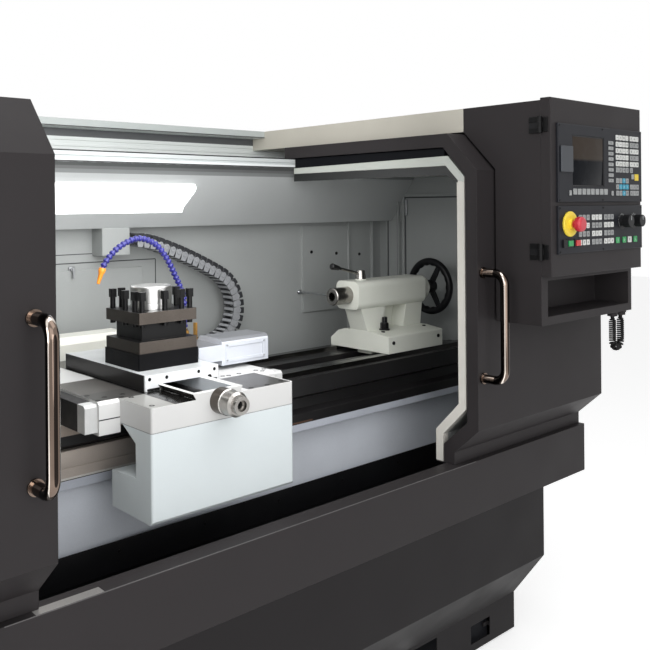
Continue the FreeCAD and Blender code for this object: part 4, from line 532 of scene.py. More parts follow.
FINISHES: dict[str, Finish | Glow | DarkGlass] = {f.name: f for f in (
    COATED,
    COATED.kin("casing_coat", (34, 32, 33), edge=(84, 80, 80), shine=0.12),
    COATED.kin("box_coat", CHARCOAL, zones=(Zone((14, 14, 15), 0.4, x=(680.0, 703.7)),)),
    COATED.kin("tray_coat", CHARCOAL, drift=0.06, ease=2.0, zones=(
        Zone((7, 7, 8), 0.4, y=(-438.5, 639.0), z=(509.5, 668.5)),
        Zone((176, 174, 172), 0.3, 0.5, (-640.0, -500.0), (-442.5, -414.0), (668.4, 670.0)),
        # Painted highlight along the ledge's front edge.
        Zone((98, 96, 96), 0.3, 0.3, (-700.0, 700.0), (-443.0, -440.6), (667.0, 670.0)))),
    Finish("seam_dark", (52, 54, 55), 0.5, grain=1.0, depth=0.01, drift=0.08, ease=0.4),
    # Black of the brush seals, and of the sheets that paint the shade in the fork pockets.
    Finish("pocket_black", (14, 15, 19), 0.6, grain=1.1, depth=0.018, drift=0.1, ease=1.0, shine=0.1),
    FRAMED,
    FRAMED.kin("frame_trim", (192, 196, 189), rough=0.4, edge=(230, 232, 228), ease=1.0),
    FRAMED.kin("frame_coat", (214, 211, 203), edge=(232, 230, 224), zones=(
        Zone(INTERIOR, 0.4, x=(-1307.2, -654.0)), Zone(INTERIOR, 0.4, x=(654.0, 1307.2)),
        # Painted shade on the sloping underside of the door frames' heads.
        Zone((36, 37, 37), 0.4, x=(-656.0, 656.0), y=(-437.0, 310.0), z=(1496.0, 1546.0)),
        OUT_LEFT, OUT_RIGHT)),
    FRAMED.kin("beam_coat", (236, 241, 239), rough=0.4, grain=1.6, drift_size=300.0,
               edge=(222, 224, 224), ease=1.6, zones=(
                   Zone(CHARCOAL, 0.5, y=(700.0, 760.0)),
                   # Painted shadow on the web under the lip, painted shade on the lip's front face, and a
                   # painted shadow line along the lip's lower edge.
                   Zone((92, 94, 96), 0.5, y=(630.0, 641.0), z=(1668.0, 1693.9)),
                   Zone((176, 182, 180), 0.4, y=BEAM_LIP),
                   Zone((46, 48, 48), 0.4, y=BEAM_LIP, z=(1693.0, 1697.0)))),
    FRAMED.kin("rail_coat", (186, 191, 191), rough=0.4, grain=1.6, drift_size=300.0,
               edge=(236, 238, 238), ease=1.0, zones=(
                   # Painted highlight along the rail's lower front edge, and painted shadow lines along
                   # its bottom and its top.
                   Zone((214, 219, 219), 0.5, y=RAIL_FRONT, z=(1569.5, 1577.0)),
                   Zone(GAP_SHADOW_BLACK, 0.5, y=RAIL_FRONT, z=(1565.5, 1569.5)),
                   Zone(GAP_SHADOW_BLACK, 0.5, y=RAIL_FRONT, z=(1596.5, 1601.5)))),
    INNER.kin("interior_coat", INTERIOR, zones=(OUT_BACK, OUT_LEFT, OUT_RIGHT)),
    # Its three bands up to z 1572 darken towards the top: painted shadow under the door rail.
    INNER.kin("lamp_coat", (184, 187, 187), zones=(
        OUT_BACK, Zone((136, 139, 139), 0.4, z=(1534.0, 1546.0)),
        Zone((112, 114, 114), 0.4, z=(1546.0, 1555.0)), Zone((84, 86, 86), 0.4, z=(1555.0, 1572.0)))),
    Finish("pale_coat", (220, 228, 230), 0.36, grain=1.5, depth=0.014, drift=0.02, edge=(244, 246, 246),
           edge_share=0.4, ease=2.4, zones=(Zone((146, 148, 150), 0.5, z=(925.2, 927.5)),)),
    Finish("wall_coat", (236, 241, 250), 0.36, grain=1.8, depth=0.02, drift=0.05, drift_size=220.0,
           edge=(220, 224, 232), edge_share=0.3, ease=2.0),
    Finish("saddle_coat", (214, 214, 213), 0.34, grain=1.4, depth=0.012, drift=0.02,
           edge=(244, 244, 242), ease=1.8, zones=(
               saddle_zone((172, 172, 169), 0.34, 0.3, (-330.0, -209.0), (-332.0, -100.0)),
               saddle_zone((38, 37, 38), 0.3, 0.8, (-266.0, -262.0), (-333.0, 352.0)),
               saddle_zone((74, 73, 72), 0.2, 0.9, (-262.0, -209.5), (-333.0, 352.0)),
               saddle_zone((124, 122, 120), 0.3, 0.85, (-56.0, 78.0), (-331.0, -178.0)),
               saddle_zone((88, 87, 85), 0.36, 0.5, (-383.5, -266.0), (-193.0, -100.0)),
               saddle_zone((104, 101, 98), 0.36, 0.5, (-383.5, -266.0), (-100.0, 60.0)),
               Zone((30, 30, 31), 0.4, 0.0, (-384.0, -329.0), (-194.0, -192.0), (938.4, 941.2)),
               Zone((70, 67, 64), 0.25, 0.9, (-219.5, -205.9), (-333.0, 340.0), (983.2, 996.6)),
               Zone((206, 210, 214), 0.4, 0.2, (-206.5, -95.5), (-318.5, 340.0), (930.0, 996.8)))),
    CAST,
    CAST.kin("tail_casting", (226, 228, 218), zones=(
        Zone((24, 24, 25), 0.36, 0.3, (872.0, 908.0), (92.0, 128.0), (992.0, 1044.0)),)),
    Finish("bed_iron", (27, 26, 27), 0.35, grain=1.2, depth=0.02, drift=0.15, edge=(110, 104, 98),
           ease=1.4, zones=(
               Zone((232, 236, 240), 0.4, y=(86.0, 162.0), z=(700.0, 912.0)),
               way_zone((210, 215, 226), 0.36, 0.0, (-1230.0, 1230.0), (740.0, 770.0)),
               # Left of x 84 the front way's ground faces are bright and right of it they stay black as
               # painted shade; the strip that darkens from x 84 to x 400 is painted light fading into it.
               way_zone((240, 236, 230), 0.3, 0.2, LEFT_WAY, (772.0, 777.0)),
               way_zone(WAY_FACE, 0.36, 0.3, LEFT_WAY, (777.0, 813.0)),
               way_zone((190, 175, 163), 0.34, 0.3, LEFT_WAY, (878.0, 906.0)),
               way_zone((222, 212, 202), 0.3, 0.3, LEFT_WAY, (906.0, 910.0)),
               way_zone((190, 160, 138), 0.3, 0.4, (84.0, 190.0), (772.5, 783.0)),
               way_zone((176, 142, 118), 0.3, 0.4, (190.0, 290.0), (772.5, 780.0)),
               way_zone((120, 92, 76), 0.3, 0.4, (290.0, 400.0), (772.5, 777.0)),
               Zone((66, 40, 38), 0.4, y=(196.0, 230.0), z=(800.0, 905.0)),
               Zone((58, 56, 55), 0.2, 0.95, z=(910.0, 923.0), faces=UPWARD))),
    # The filler strip is black, with its bright ground face only on the left way: painted shade on the
    # rest, as on the front way.
    Finish("way_strip", (27, 26, 27), 0.36, 0.2, grain=1.2, depth=0.02, drift=0.08, edge=(226, 218, 210),
           edge_share=0.2, ease=0.8, zones=(Zone(WAY_FACE, 0.36, 0.3, x=LEFT_WAY, fade=WAY_FADE),)),
    Finish("slide_iron", (50, 48, 48), 0.32, 0.75, grain=0.9, depth=0.008, stretch=(1.0, 14.0, 1.0),
           drift=0.12, drift_size=70.0, edge=(128, 124, 120), ease=1.0, zones=(
               Zone((236, 238, 240), 0.36, 0.0, y=(-182.0, -173.9)),
               Zone((214, 217, 218), 0.34, 0.2, z=(1022.0, 1023.5), faces=UPWARD))),
    # The plates' ground side faces are painted lighter on the front and darker on the left: painted light
    # and shade on one ground steel.
    Finish("tool_post_steel", (17, 17, 18), 0.38, 0.5, grain=0.8, depth=0.008, drift=0.14,
           drift_size=50.0, edge=(104, 98, 92), edge_share=0.55, ease=1.0, zones=tuple(
               Zone(shade, 0.3, 0.9, z=plate, faces=side) for plate in POST_PLATES for shade, side in (
                   ((101, 94, 88), TO_FRONT), ((76, 70, 65), TO_LEFT), ((96, 89, 83), TO_RIGHT)))),
    Finish("tool_post_base", (8, 8, 10), 0.5, grain=0.8, depth=0.01, drift=0.12, drift_size=40.0,
           edge=(48, 48, 50), edge_share=0.4, ease=0.9, shine=0.12,
           zones=(Zone((204, 204, 202), 0.3, 0.95, z=(1166.7, 1230.0)),)),
    Finish("black_oxide", (17, 17, 18), 0.36, 0.3, grain=0.7, depth=0.008, drift=0.15, drift_size=20.0,
           edge=(84, 82, 80), ease=0.6, shine=0.25),
    # The pulls' dark base colour, the dark and bright stripes set by which way the grips face, and the
    # feet's bright tops and dark undersides are painted reflection.
    Finish("chrome_tube", (118, 103, 93), 0.1, 1.0, grain=0.6, depth=0.002, drift=0.05,
           drift_size=40.0, ease=0.6, zones=(
               Zone((34, 30, 28), 0.12, 1.0, y=PULL_TUBE, faces=(Axis.Y, -0.42, 1.1)),
               Zone((236, 226, 216), 0.08, 1.0, y=PULL_TUBE, faces=(Axis.Y, -0.62, -0.46)),
               Zone((42, 36, 33), 0.12, 1.0, y=PULL_TUBE, faces=(Axis.Y, -1.1, -0.955)),
               Zone((224, 208, 194), 0.1, 1.0, y=PULL_FEET, faces=(Axis.Z, 0.55, 0.85)),
               Zone((42, 36, 33), 0.12, 1.0, y=PULL_FEET, faces=(Axis.Z, -1.1, -0.3)))),
    Finish("zinc_steel", (168, 170, 172), 0.34, 0.95, grain=1.0, depth=0.01, drift=0.1, drift_size=16.0,
           edge=(220, 220, 220), ease=0.6),
    Finish("brass", (176, 134, 72), 0.28, 1.0, grain=0.8, depth=0.008, drift=0.12, drift_size=12.0,
           edge=(226, 196, 136), edge_share=0.6, ease=0.6),
    STEEL,
    STEEL.kin("ground_steel", (142, 138, 134), rough=0.27, grain=0.9, stretch=(14.0, 14.0, 1.0),
              drift=0.1, drift_size=60.0, edge=(206, 204, 200), ease=0.8),
    STEEL.kin("bar_steel", (150, 147, 143), rough=0.24, stretch=(1.0, 12.0, 12.0), drift=0.1,
              drift_size=40.0, edge=(224, 222, 218), ease=0.8, zones=(
                  Zone((12, 12, 13), 0.5, x=(600.0, 690.0), z=(1180.0, 1260.0)),)),
    STEEL.kin("nose_steel", (164, 161, 157), rough=0.3, drift=0.1, edge=(224, 222, 218), zones=(
        Zone((92, 86, 80), 0.3, 0.9, y=(-366.0, -334.0)),
        Zone((212, 210, 206), 0.26, 1.0, y=(-369.0, -366.0)))),
    RUBBER,
    RUBBER.kin("wiper_rubber", (30, 29, 30), edge=(60, 59, 60), shine=0.5,
               zones=(Zone((206, 207, 206), 0.34, y=(-200.0, -150.0)),)),
    Finish("black_plastic", (20, 20, 22), 0.4, grain=0.8, depth=0.012, drift=0.08, drift_size=40.0,
           edge=(62, 62, 64), edge_share=0.35, ease=0.8, shine=0.22),
    PANEL,
    PANEL.kin("control_plastic", (30, 31, 36), edge_share=0.4, zones=(
        Zone(YELLOW, 0.36, x=(746.0, 820.0), y=(-760.0, -709.3), z=(1337.0, 1411.0)),)),
    PANEL.kin("flap_plastic", (50, 54, 60), rough=0.42, depth=0.01, drift_size=60.0,
              edge=(150, 158, 166), edge_share=0.5, shine=0.5),
    KEY,
    KEY.kin("key_grey", (158, 160, 160), drift=0.03, edge=(196, 198, 198)),
    KEY.kin("key_cyan", (66, 162, 190), rough=0.42, drift=0.04, edge=(150, 214, 230)),
    KEY.kin("key_yellow", (238, 208, 66), rough=0.42, drift=0.04, edge=(250, 232, 150)),
    PRINT,
    PRINT.kin("print_pale", (206, 210, 212), drift=0.04),
    BUTTON,
    BUTTON.kin("stop_plastic", (206, 50, 52), edge=(236, 120, 112)),
    BUTTON.kin("red_plastic", (204, 44, 60), depth=0.01, drift_size=24.0, edge=(232, 110, 118),
               ease=0.8, coat=0.3),
    BUTTON.kin("yellow_plastic", YELLOW, drift=0.04, drift_size=20.0, edge=(252, 230, 130), ease=0.6,
               coat=0.0),
    BUTTON.kin("blue_plastic", (29, 28, 118), rough=0.34, depth=0.01, drift=0.08, edge=(112, 116, 206),
               edge_share=0.5, ease=0.6, coat=0.3),
    BUTTON.kin("orange_plastic", (236, 146, 44), rough=0.38, depth=0.01, drift=0.06, drift_size=12.0,
               edge=(250, 196, 120), edge_share=0.4, ease=0.6, coat=0.0),
    Finish("grey_plastic", (200, 204, 212), 0.34, grain=1.4, depth=0.012, drift=0.03, drift_size=60.0,
           edge=(226, 230, 236), ease=1.6,
           zones=(Zone((118, 120, 124), 0.36, z=(1040.0, 1100.0), faces=UPWARD),)),
    LINK,
    LINK.kin("chain_plastic", (66, 67, 70), rough=0.4, edge=(140, 142, 146), edge_share=0.5, ease=0.9,
             shine=0.5, zones=(
                 Zone((146, 148, 151), 0.4, y=(390.0, 401.6), faces=(Axis.Y, -1.1, -0.6)),)),
    LINK.kin("chain_bar", (152, 154, 157), rough=0.38, drift=0.08, drift_size=20.0,
             edge=(190, 192, 194), edge_share=0.5, ease=0.8, shine=0.5),
    Glow("lamp_lens", (255, 255, 255), 2.4),
    DarkGlass("screen_glass", (11, 14, 20)),
)}

NODE_FINISH: dict[str, str] = {
    "base_casing": "casing_coat", "chip_tray": "tray_coat", "leveling_feet": "black_oxide",
    "bed": "bed_iron", "bed_support": "wall_coat", "headstock": "cream_casting",
    "spindle_motor": "charcoal_coat", "drive_belt": "black_rubber", "left_housing": "frame_coat",
    "right_housing": "frame_coat", "rear_enclosure": "interior_coat", "lamp_panel": "lamp_coat",
    "work_light": "lamp_lens", "top_beam": "beam_coat", "door_rail": "rail_coat",
    "control_box": "box_coat", "top_duct": "beige_coat", "long_drive": "black_oxide",
    "electrical_cabinet": "charcoal_coat", "cabinet_door": "charcoal_coat",
    "drag_chain": "chain_plastic", "left_door": "charcoal_coat", "right_door": "charcoal_coat",
    "left_handle": "chrome_tube", "right_handle": "chrome_tube", "saddle": "saddle_coat",
    "apron": "pale_coat", "way_wipers": "wiper_rubber", "cross_screw_housing": "nose_steel",
    "cross_servo": "cream_casting", "cross_slide": "slide_iron", "turret_base": "tool_post_base",
    "junction_box": "grey_plastic", "coolant_fitting": "brass", "coolant_cock": "brass",
    "turret_head": "tool_post_steel", "turret_screws": "black_oxide", "long_screw": "bar_steel",
    "cross_screw": "black_oxide", "spindle": "bar_steel", "chuck_body": "bar_steel",
    "chuck_jaw_1": "ground_steel", "chuck_jaw_2": "ground_steel", "chuck_jaw_3": "ground_steel",
    "motor_pulley": "zinc_steel", "tailstock": "tail_casting", "quill": "bar_steel",
    "tail_handwheel": "black_plastic", "quill_lever": "bar_steel", "panel_door": "box_coat",
    "screen_unit": "panel_plastic", "machine_panel": "control_plastic", "estop_button": "red_plastic",
    "start_button": "green_plastic", "stop_button": "stop_plastic", "feed_knob": "black_plastic",
    "speed_knob": "black_plastic", "interface_flap": "flap_plastic",
}


class Shelf:
    """Store of built materials, each made the first time that it is asked for."""

    def __init__(self) -> None:
        """Starts empty."""
        self._built: dict[str, bpy.types.Material] = {}

    def take(self, name: str) -> bpy.types.Material:
        """Material of a finish.

        Args:
            name: Name of the finish.

        Returns:
            The material, the same one each time.
        """
        if name not in self._built:
            self._built[name] = FINISHES[name].build()
        return self._built[name]


SHELF = Shelf()


# ---------------------------------------------------------------- shaping
def rounded(a: Span, b: Span, radius: float, steps: int = 3) -> list[Span]:
    """Rectangle with rounded corners.

    Args:
        a: Low and high of the first coordinate.
        b: Low and high of the second.
        radius: Corner radius.
        steps: Points on each corner less one.

    Returns:
        The outline's points.
    """
    ring = []
    for k, (ca, cb) in enumerate(((a[1] - radius, b[1] - radius), (a[0] + radius, b[1] - radius),
                                  (a[0] + radius, b[0] + radius), (a[1] - radius, b[0] + radius))):
        for i in range(steps + 1):
            angle = math.pi / 2 * (k + i / steps)
            ring.append((ca + radius * math.cos(angle), cb + radius * math.sin(angle)))
    return ring


def regular(centre: Span, radius: float, count: int) -> list[Span]:
    """Points evenly round a circle.

    Args:
        centre: Its middle.
        radius: Its radius.
        count: How many points.

    Returns:
        The points.
    """
    step = 2 * math.pi / count
    return [(centre[0] + radius * math.cos(step * k), centre[1] + radius * math.sin(step * k))
            for k in range(count)]


def shrunk(ring: list[Span], depth: float) -> list[Span]:
    """Closed outline, run anticlockwise, moved inwards.

    Args:
        ring: The outline's points.
        depth: How far each side moves.

    Returns:
        As many points, with mitred corners.
    """
    moved = []
    for i, here in enumerate(ring):
        before, after = ring[i - 1], ring[(i + 1) % len(ring)]
        first = Vector((here[1] - before[1], before[0] - here[0])).normalized()
        second = Vector((after[1] - here[1], here[0] - after[0])).normalized()
        mitre = first + second
        mitre = mitre / max(mitre.dot(first), 0.3)
        moved.append((here[0] - mitre.x * depth, here[1] - mitre.y * depth))
    return moved


class Route:
    """Line of points that is read by the distance along it."""

    def __init__(self, line: list[Vector]) -> None:
        """Measures the line.

        Args:
            line: Its points.
        """
        self.line = line
        self.reach = [0.0]
        for a, b in zip(line, line[1:]):
            self.reach.append(self.reach[-1] + (b - a).length)
        self.total = self.reach[-1]

    def place(self, s: float) -> Vector:
        """Point of the line, held at its ends.

        Args:
            s: Distance along the line.

        Returns:
            The point.
        """
        s = min(max(s, 0.0), self.total)
        k = max(i for i in range(len(self.reach) - 1) if self.reach[i] <= s)
        share = (s - self.reach[k]) / max(self.reach[k + 1] - self.reach[k], 1e-9)
        return self.line[k].lerp(self.line[k + 1], share)


class Stock:
    """Pieces of one finish gathered into one mesh, in the machine's millimetres."""

    def __init__(self) -> None:
        """Starts with no piece."""
        self.points: list[Vector] = []
        self.faces: list[tuple[int, ...]] = []

    def loft(self, rings: list[list[Vector]], capped: bool = True, looped: bool = False) -> None:
        """Skins rings of points.

        Args:
            rings: Rings of equal length.
            capped: Whether the first and last ring are closed by a face.
            looped: Whether the last ring joins the first.
        """
        start, count = len(self.points), len(rings[0])
        for ring in rings:
            self.points.extend(ring)
        spans = len(rings) if looped else len(rings) - 1
        for r in range(spans):
            low = start + r * count
            high = start + (r + 1) % len(rings) * count
            for k in range(count):
                n = (k + 1) % count
                self.faces.append((low + k, low + n, high + n, high + k))
        if capped and not looped:
            self.faces.append(tuple(start + k for k in range(count))[::-1])
            last = start + (len(rings) - 1) * count
            self.faces.append(tuple(last + k for k in range(count)))

    def lift(self, ring: list[Span], level: float, axis: Axis) -> list[Vector]:
        """Ring of points at one level along an axis."""
        k = axis.value
        return [Vector((*p[:k], level, *p[k:])) for p in ring]

    def prism(self, ring: list[Span], span: Span, axis: Axis, ease: float = 0.5) -> None:
        """Extrudes an outline, with both end edges chamfered.

        Args:
            ring: Outline across the axis: (y, z), (x, z) or (x, y).
            span: Low and high end along the axis.
            axis: Direction of the extrusion.
            ease: Size of the chamfers.
        """
        inner = shrunk(ring, ease)
        low, high = span
        self.loft([self.lift(inner, low, axis), self.lift(ring, low + ease, axis),
                   self.lift(ring, high - ease, axis), self.lift(inner, high, axis)])

    def block(self, x: Span, y: Span, z: Span, axis: Axis = Axis.Y, radius: float = 1.0,
              ease: float = 0.5) -> None:
        """Rounded plate or key: corners rounded along one axis, ends chamfered.

        Args:
            x: Low and high X.
            y: Low and high Y.
            z: Low and high Z.
            axis: Axis that the rounded corners run along.
            radius: Corner radius.
            ease: Chamfer of both ends.
        """
        sides = {Axis.X: (y, z, x), Axis.Y: (x, z, y), Axis.Z: (x, y, z)}[axis]
        self.prism(rounded(sides[0], sides[1], radius), sides[2], axis, ease)

    def turned(self, profile: list[Span], centre: Point, axis: Axis, count: int = 24,
               looped: bool = False) -> None:
        """Turns a profile about an axis.

        Args:
            profile: (radius, place along the axis from the centre) pairs.
            centre: Point on the axis.
            axis: Direction of the axis.
            count: Points round the axis.
            looped: Whether the profile is a closed ring.
        """
        cross = {Axis.X: (centre[1], centre[2]), Axis.Y: (centre[0], centre[2]),
                 Axis.Z: (centre[0], centre[1])}[axis]
        base = centre[axis.value]
        rings = [self.lift(regular(cross, max(r, 0.01), count), base + t, axis) for r, t in profile]
        self.loft(rings, not looped, looped)

    def swept(self, line: list[Vector], radii: list[float], count: int,
              heading: Vector | None = None) -> None:
        """Round bar along a line.

        Args:
            line: Points of the centre line.
            radii: Radius at each point.
            count: Points round the bar.
            heading: Direction that every ring faces, where it isn't the line's own.
        """
        rings = []
        side = Vector((0, 0, 1)).cross(line[1] - line[0])
        if side.length < 1e-6:
            side = Vector((1, 0, 0))
        for i, here in enumerate(line):
            run = heading or (line[min(i + 1, len(line) - 1)] - line[max(i - 1, 0)]).normalized()
            side = (side - run * side.dot(run)).normalized()
            other = run.cross(side)
            rings.append([here + (side * math.cos(2 * math.pi * k / count)
                                  + other * math.sin(2 * math.pi * k / count)) * radii[i]
                          for k in range(count)])
        self.loft(rings)

    def cap_screw(self, centre: Point, axis: Axis, out: float, radius: float, height: float) -> None:
        """Socket-head screw seen from its head, with its hexagon sunk in.

        Args:
            centre: Middle of the seat.
            axis: Direction of the screw.
            out: 1 or -1, the way the head looks along the axis.
            radius: Radius of the head.
            height: Height of the head.
        """
        h = height * out
        a, b = (c for i, c in enumerate(centre) if i != axis.value)
        base = centre[axis.value]
        rings = [self.lift(regular((a, b), radius * share, 12), base + t, axis)
                 for share, t in ((1.0, 0.0), (1.0, h * 0.85), (0.88, h))]
        hexagon = [self.lift(self._hex((a, b), radius * share), base + t, axis)
                   for share, t in ((0.56, h), (0.54, h * 0.35))]
        self.loft(rings + hexagon)

    def cap_screws(self, centres: Iterable[Point], axis: Axis, out: float, radius: float,
                   height: float) -> None:
        """The same socket-head screw at several places."""
        for centre in centres:
            self.cap_screw(centre, axis, out, radius, height)

    @staticmethod
    def _hex(cross: Span, radius: float) -> list[Span]:
        """Hexagon of twelve points, so that it meets a ring of twelve.

        Args:
            cross: Its middle.
            radius: Distance from the middle to a corner.

        Returns:
            The points.
        """
        corners = regular(cross, radius, 6)
        ring = []
        for k, corner in enumerate(corners):
            after = corners[(k + 1) % 6]
            ring.append(corner)
            ring.append(((corner[0] + after[0]) / 2, (corner[1] + after[1]) / 2))
        return ring

    def turn(self, start: int, matrix: Matrix) -> None:
        """Moves every point from an index on by a matrix."""
        for i in range(start, len(self.points)):
            self.points[i] = matrix @ self.points[i]

    def make(self, name: str, finish: str, body: str, sharp: float = 32.0) -> bpy.types.Object:
        """Turns the gathered pieces into one object that rides on a body.

        Args:
            name: Name of the object.
            finish: Name of its finish.
            body: Body that it rides on.
            sharp: Angle in degrees over which an edge stays sharp.

        Returns:
            The object.
        """
        mesh = bpy.data.meshes.new(name)
        mesh.from_pydata([at(*p) for p in self.points], [], self.faces)
        shape = bmesh.new()
        shape.from_mesh(mesh)
        bmesh.ops.recalc_face_normals(shape, faces=shape.faces)
        shape.to_mesh(mesh)
        shape.free()
        mesh.shade_smooth()
        mesh.set_sharp_from_angle(angle=math.radians(sharp))
        mesh.materials.append(SHELF.take(finish))
        obj = bpy.data.objects.new(name, mesh)
        bpy.context.scene.collection.objects.link(obj)
        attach(obj, body)
        LOG.info("%s: %d faces on %s", name, len(mesh.polygons), body)
        return obj


def dress_nodes() -> None:
    """Gives every node that is shown as it is its finish."""
    for node, finish in NODE_FINISH.items():
        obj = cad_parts[node]
        if not obj.material_slots:
            obj.data.materials.append(None)
        for slot in obj.material_slots:
            slot.material = SHELF.take(finish)
    LOG.info("dressed %d nodes", len(NODE_FINISH))


# ---------------------------------------------------------------- studio
@dataclass
class Studio:
    """Camera at the photograph's place, soft lamps, pale floor and white surroundings."""

    place: Point = (-1279.0, -1950.0, 1432.3)
    heading: float = 42.46
    roll: float = 0.49
    focal_px: float = 825.2
    frame_px: float = 650.0
    horizon_px: float = 205.3
    surround: float = 0.32
    floor_reach: float = 14000.0
    floor_colour: Rgb = (232, 232, 232)
    floor_glow: float = 0.6

    def camera(self) -> None:
        """Camera level with the photograph's horizon, which is set by its shift."""
        turn, roll = math.radians(self.heading), math.radians(self.roll)
        ahead = Vector((math.sin(turn), math.cos(turn), 0))
        right = Vector((math.cos(turn), -math.sin(turn), 0))
        up = Vector((0, 0, 1))
        tilted = right * math.cos(roll) - up * math.sin(roll)
        upper = up * math.cos(roll) + right * math.sin(roll)
        matrix = Matrix((tilted, upper, -ahead)).transposed().to_4x4()
        matrix.translation = at(*self.place)
        data = bpy.data.cameras.new("photo_camera")
        data.sensor_width = 36.0
        data.lens = self.focal_px * 36.0 / self.frame_px
        data.shift_y = -(self.frame_px / 2 - self.horizon_px) / self.frame_px
        data.clip_start = 0.05
        data.clip_end = 60.0
        obj = bpy.data.objects.new("photo_camera", data)
        bpy.context.scene.collection.objects.link(obj)
        obj.matrix_world = matrix
        bpy.context.scene.camera = obj

    def lamp(self, name: str, place: Point, aim: Point, size: float, power: float,
             hidden: bool = False) -> None:
        """Square soft lamp.

        Args:
            name: Name of the lamp.
            place: Where it stands.
            aim: Point that it looks at.
            size: Side in metres.
            power: Watts.
            hidden: Whether the camera doesn't see it.
        """
        data = bpy.data.lights.new(name, "AREA")
        data.size = size
        data.energy = power
        obj = bpy.data.objects.new(name, data)
        bpy.context.scene.collection.objects.link(obj)
        obj.location = at(*place)
        obj.rotation_euler = (at(*aim) - at(*place)).to_track_quat("-Z", "Y").to_euler()
        obj.visible_camera = not hidden

    def backdrop_share(self, tree: bpy.types.NodeTree) -> bpy.types.NodeSocket:
        """1 for what the camera sees directly, in a mirror or through glass.

        Args:
            tree: Node tree that it is built in.

        Returns:
            The share's socket.
        """
        path = tree.nodes.new("ShaderNodeLightPath")
        total = path.outputs["Is Camera Ray"]
        for other in ("Is Glossy Ray", "Is Transmission Ray"):
            node = tree.nodes.new("ShaderNodeMath")
            node.operation = "MAXIMUM"
            tree.links.new(total, node.inputs[0])
            tree.links.new(path.outputs[other], node.inputs[1])
            total = node.outputs[0]
        return total

    def surroundings(self) -> None:
        """White world for the camera, and a softer one that lights the machine."""
        world = bpy.data.worlds.new("studio")
        bpy.context.scene.world = world
        world.use_nodes = True
        tree = world.node_tree
        background = tree.nodes["Background"]
        background.inputs["Color"].default_value = (1, 1, 1, 1)
        mix = tree.nodes.new("ShaderNodeMix")
        tree.links.new(self.backdrop_share(tree), mix.inputs["Factor"])
        mix.inputs[2].default_value = self.surround
        mix.inputs[3].default_value = 1.0
        tree.links.new(mix.outputs[0], background.inputs["Strength"])

    def floor(self) -> None:
        """Pale floor that keeps the machine's shadow."""
        mesh = bpy.data.meshes.new("floor")
        reach = self.floor_reach * MM
        corners = [(-reach, -reach, 0), (reach, -reach, 0), (reach, reach, 0), (-reach, reach, 0)]
        mesh.from_pydata(corners, [], [(0, 1, 2, 3)])
        obj = bpy.data.objects.new("floor", mesh)
        bpy.context.scene.collection.objects.link(obj)
        material = bpy.data.materials.new("floor")
        material.use_nodes = True
        tree = material.node_tree
        shader = tree.nodes["Principled BSDF"]
        shader.inputs["Base Color"].default_value = linear(self.floor_colour)
        shader.inputs["Roughness"].default_value = 0.9
        glow = tree.nodes.new("ShaderNodeMath")
        glow.operation = "MULTIPLY"
        tree.links.new(self.backdrop_share(tree), glow.inputs[0])
        glow.inputs[1].default_value = self.floor_glow
        shader.inputs["Emission Color"].default_value = (1, 1, 1, 1)
        tree.links.new(glow.outputs[0], shader.inputs["Emission Strength"])
        mesh.materials.append(material)

    def build(self) -> None:
        """Sets up the whole studio."""
        self.camera()
        self.surroundings()
        self.floor()
        self.lamp("front_softbox", (-1900, -3600, 3000), (0, 0, 950), 3.4, 49.0)
        self.lamp("low_softbox", (-800, -3100, 1400), (100, 0, 700), 1.8, 26.0)
        self.lamp("inside_softbox", (-150, -285, 1560), (-100, 500, 1080), 0.8, 6.8, True)
        self.lamp("top_softbox", (600, -900, 4200), (0, 0, 900), 3.0, 44.0)
        self.lamp("left_softbox", (-4200, -900, 1900), (-200, -200, 1000), 2.6, 52.0)
        bpy.context.scene.view_settings.view_transform = "Standard"
        LOG.info("studio ready")


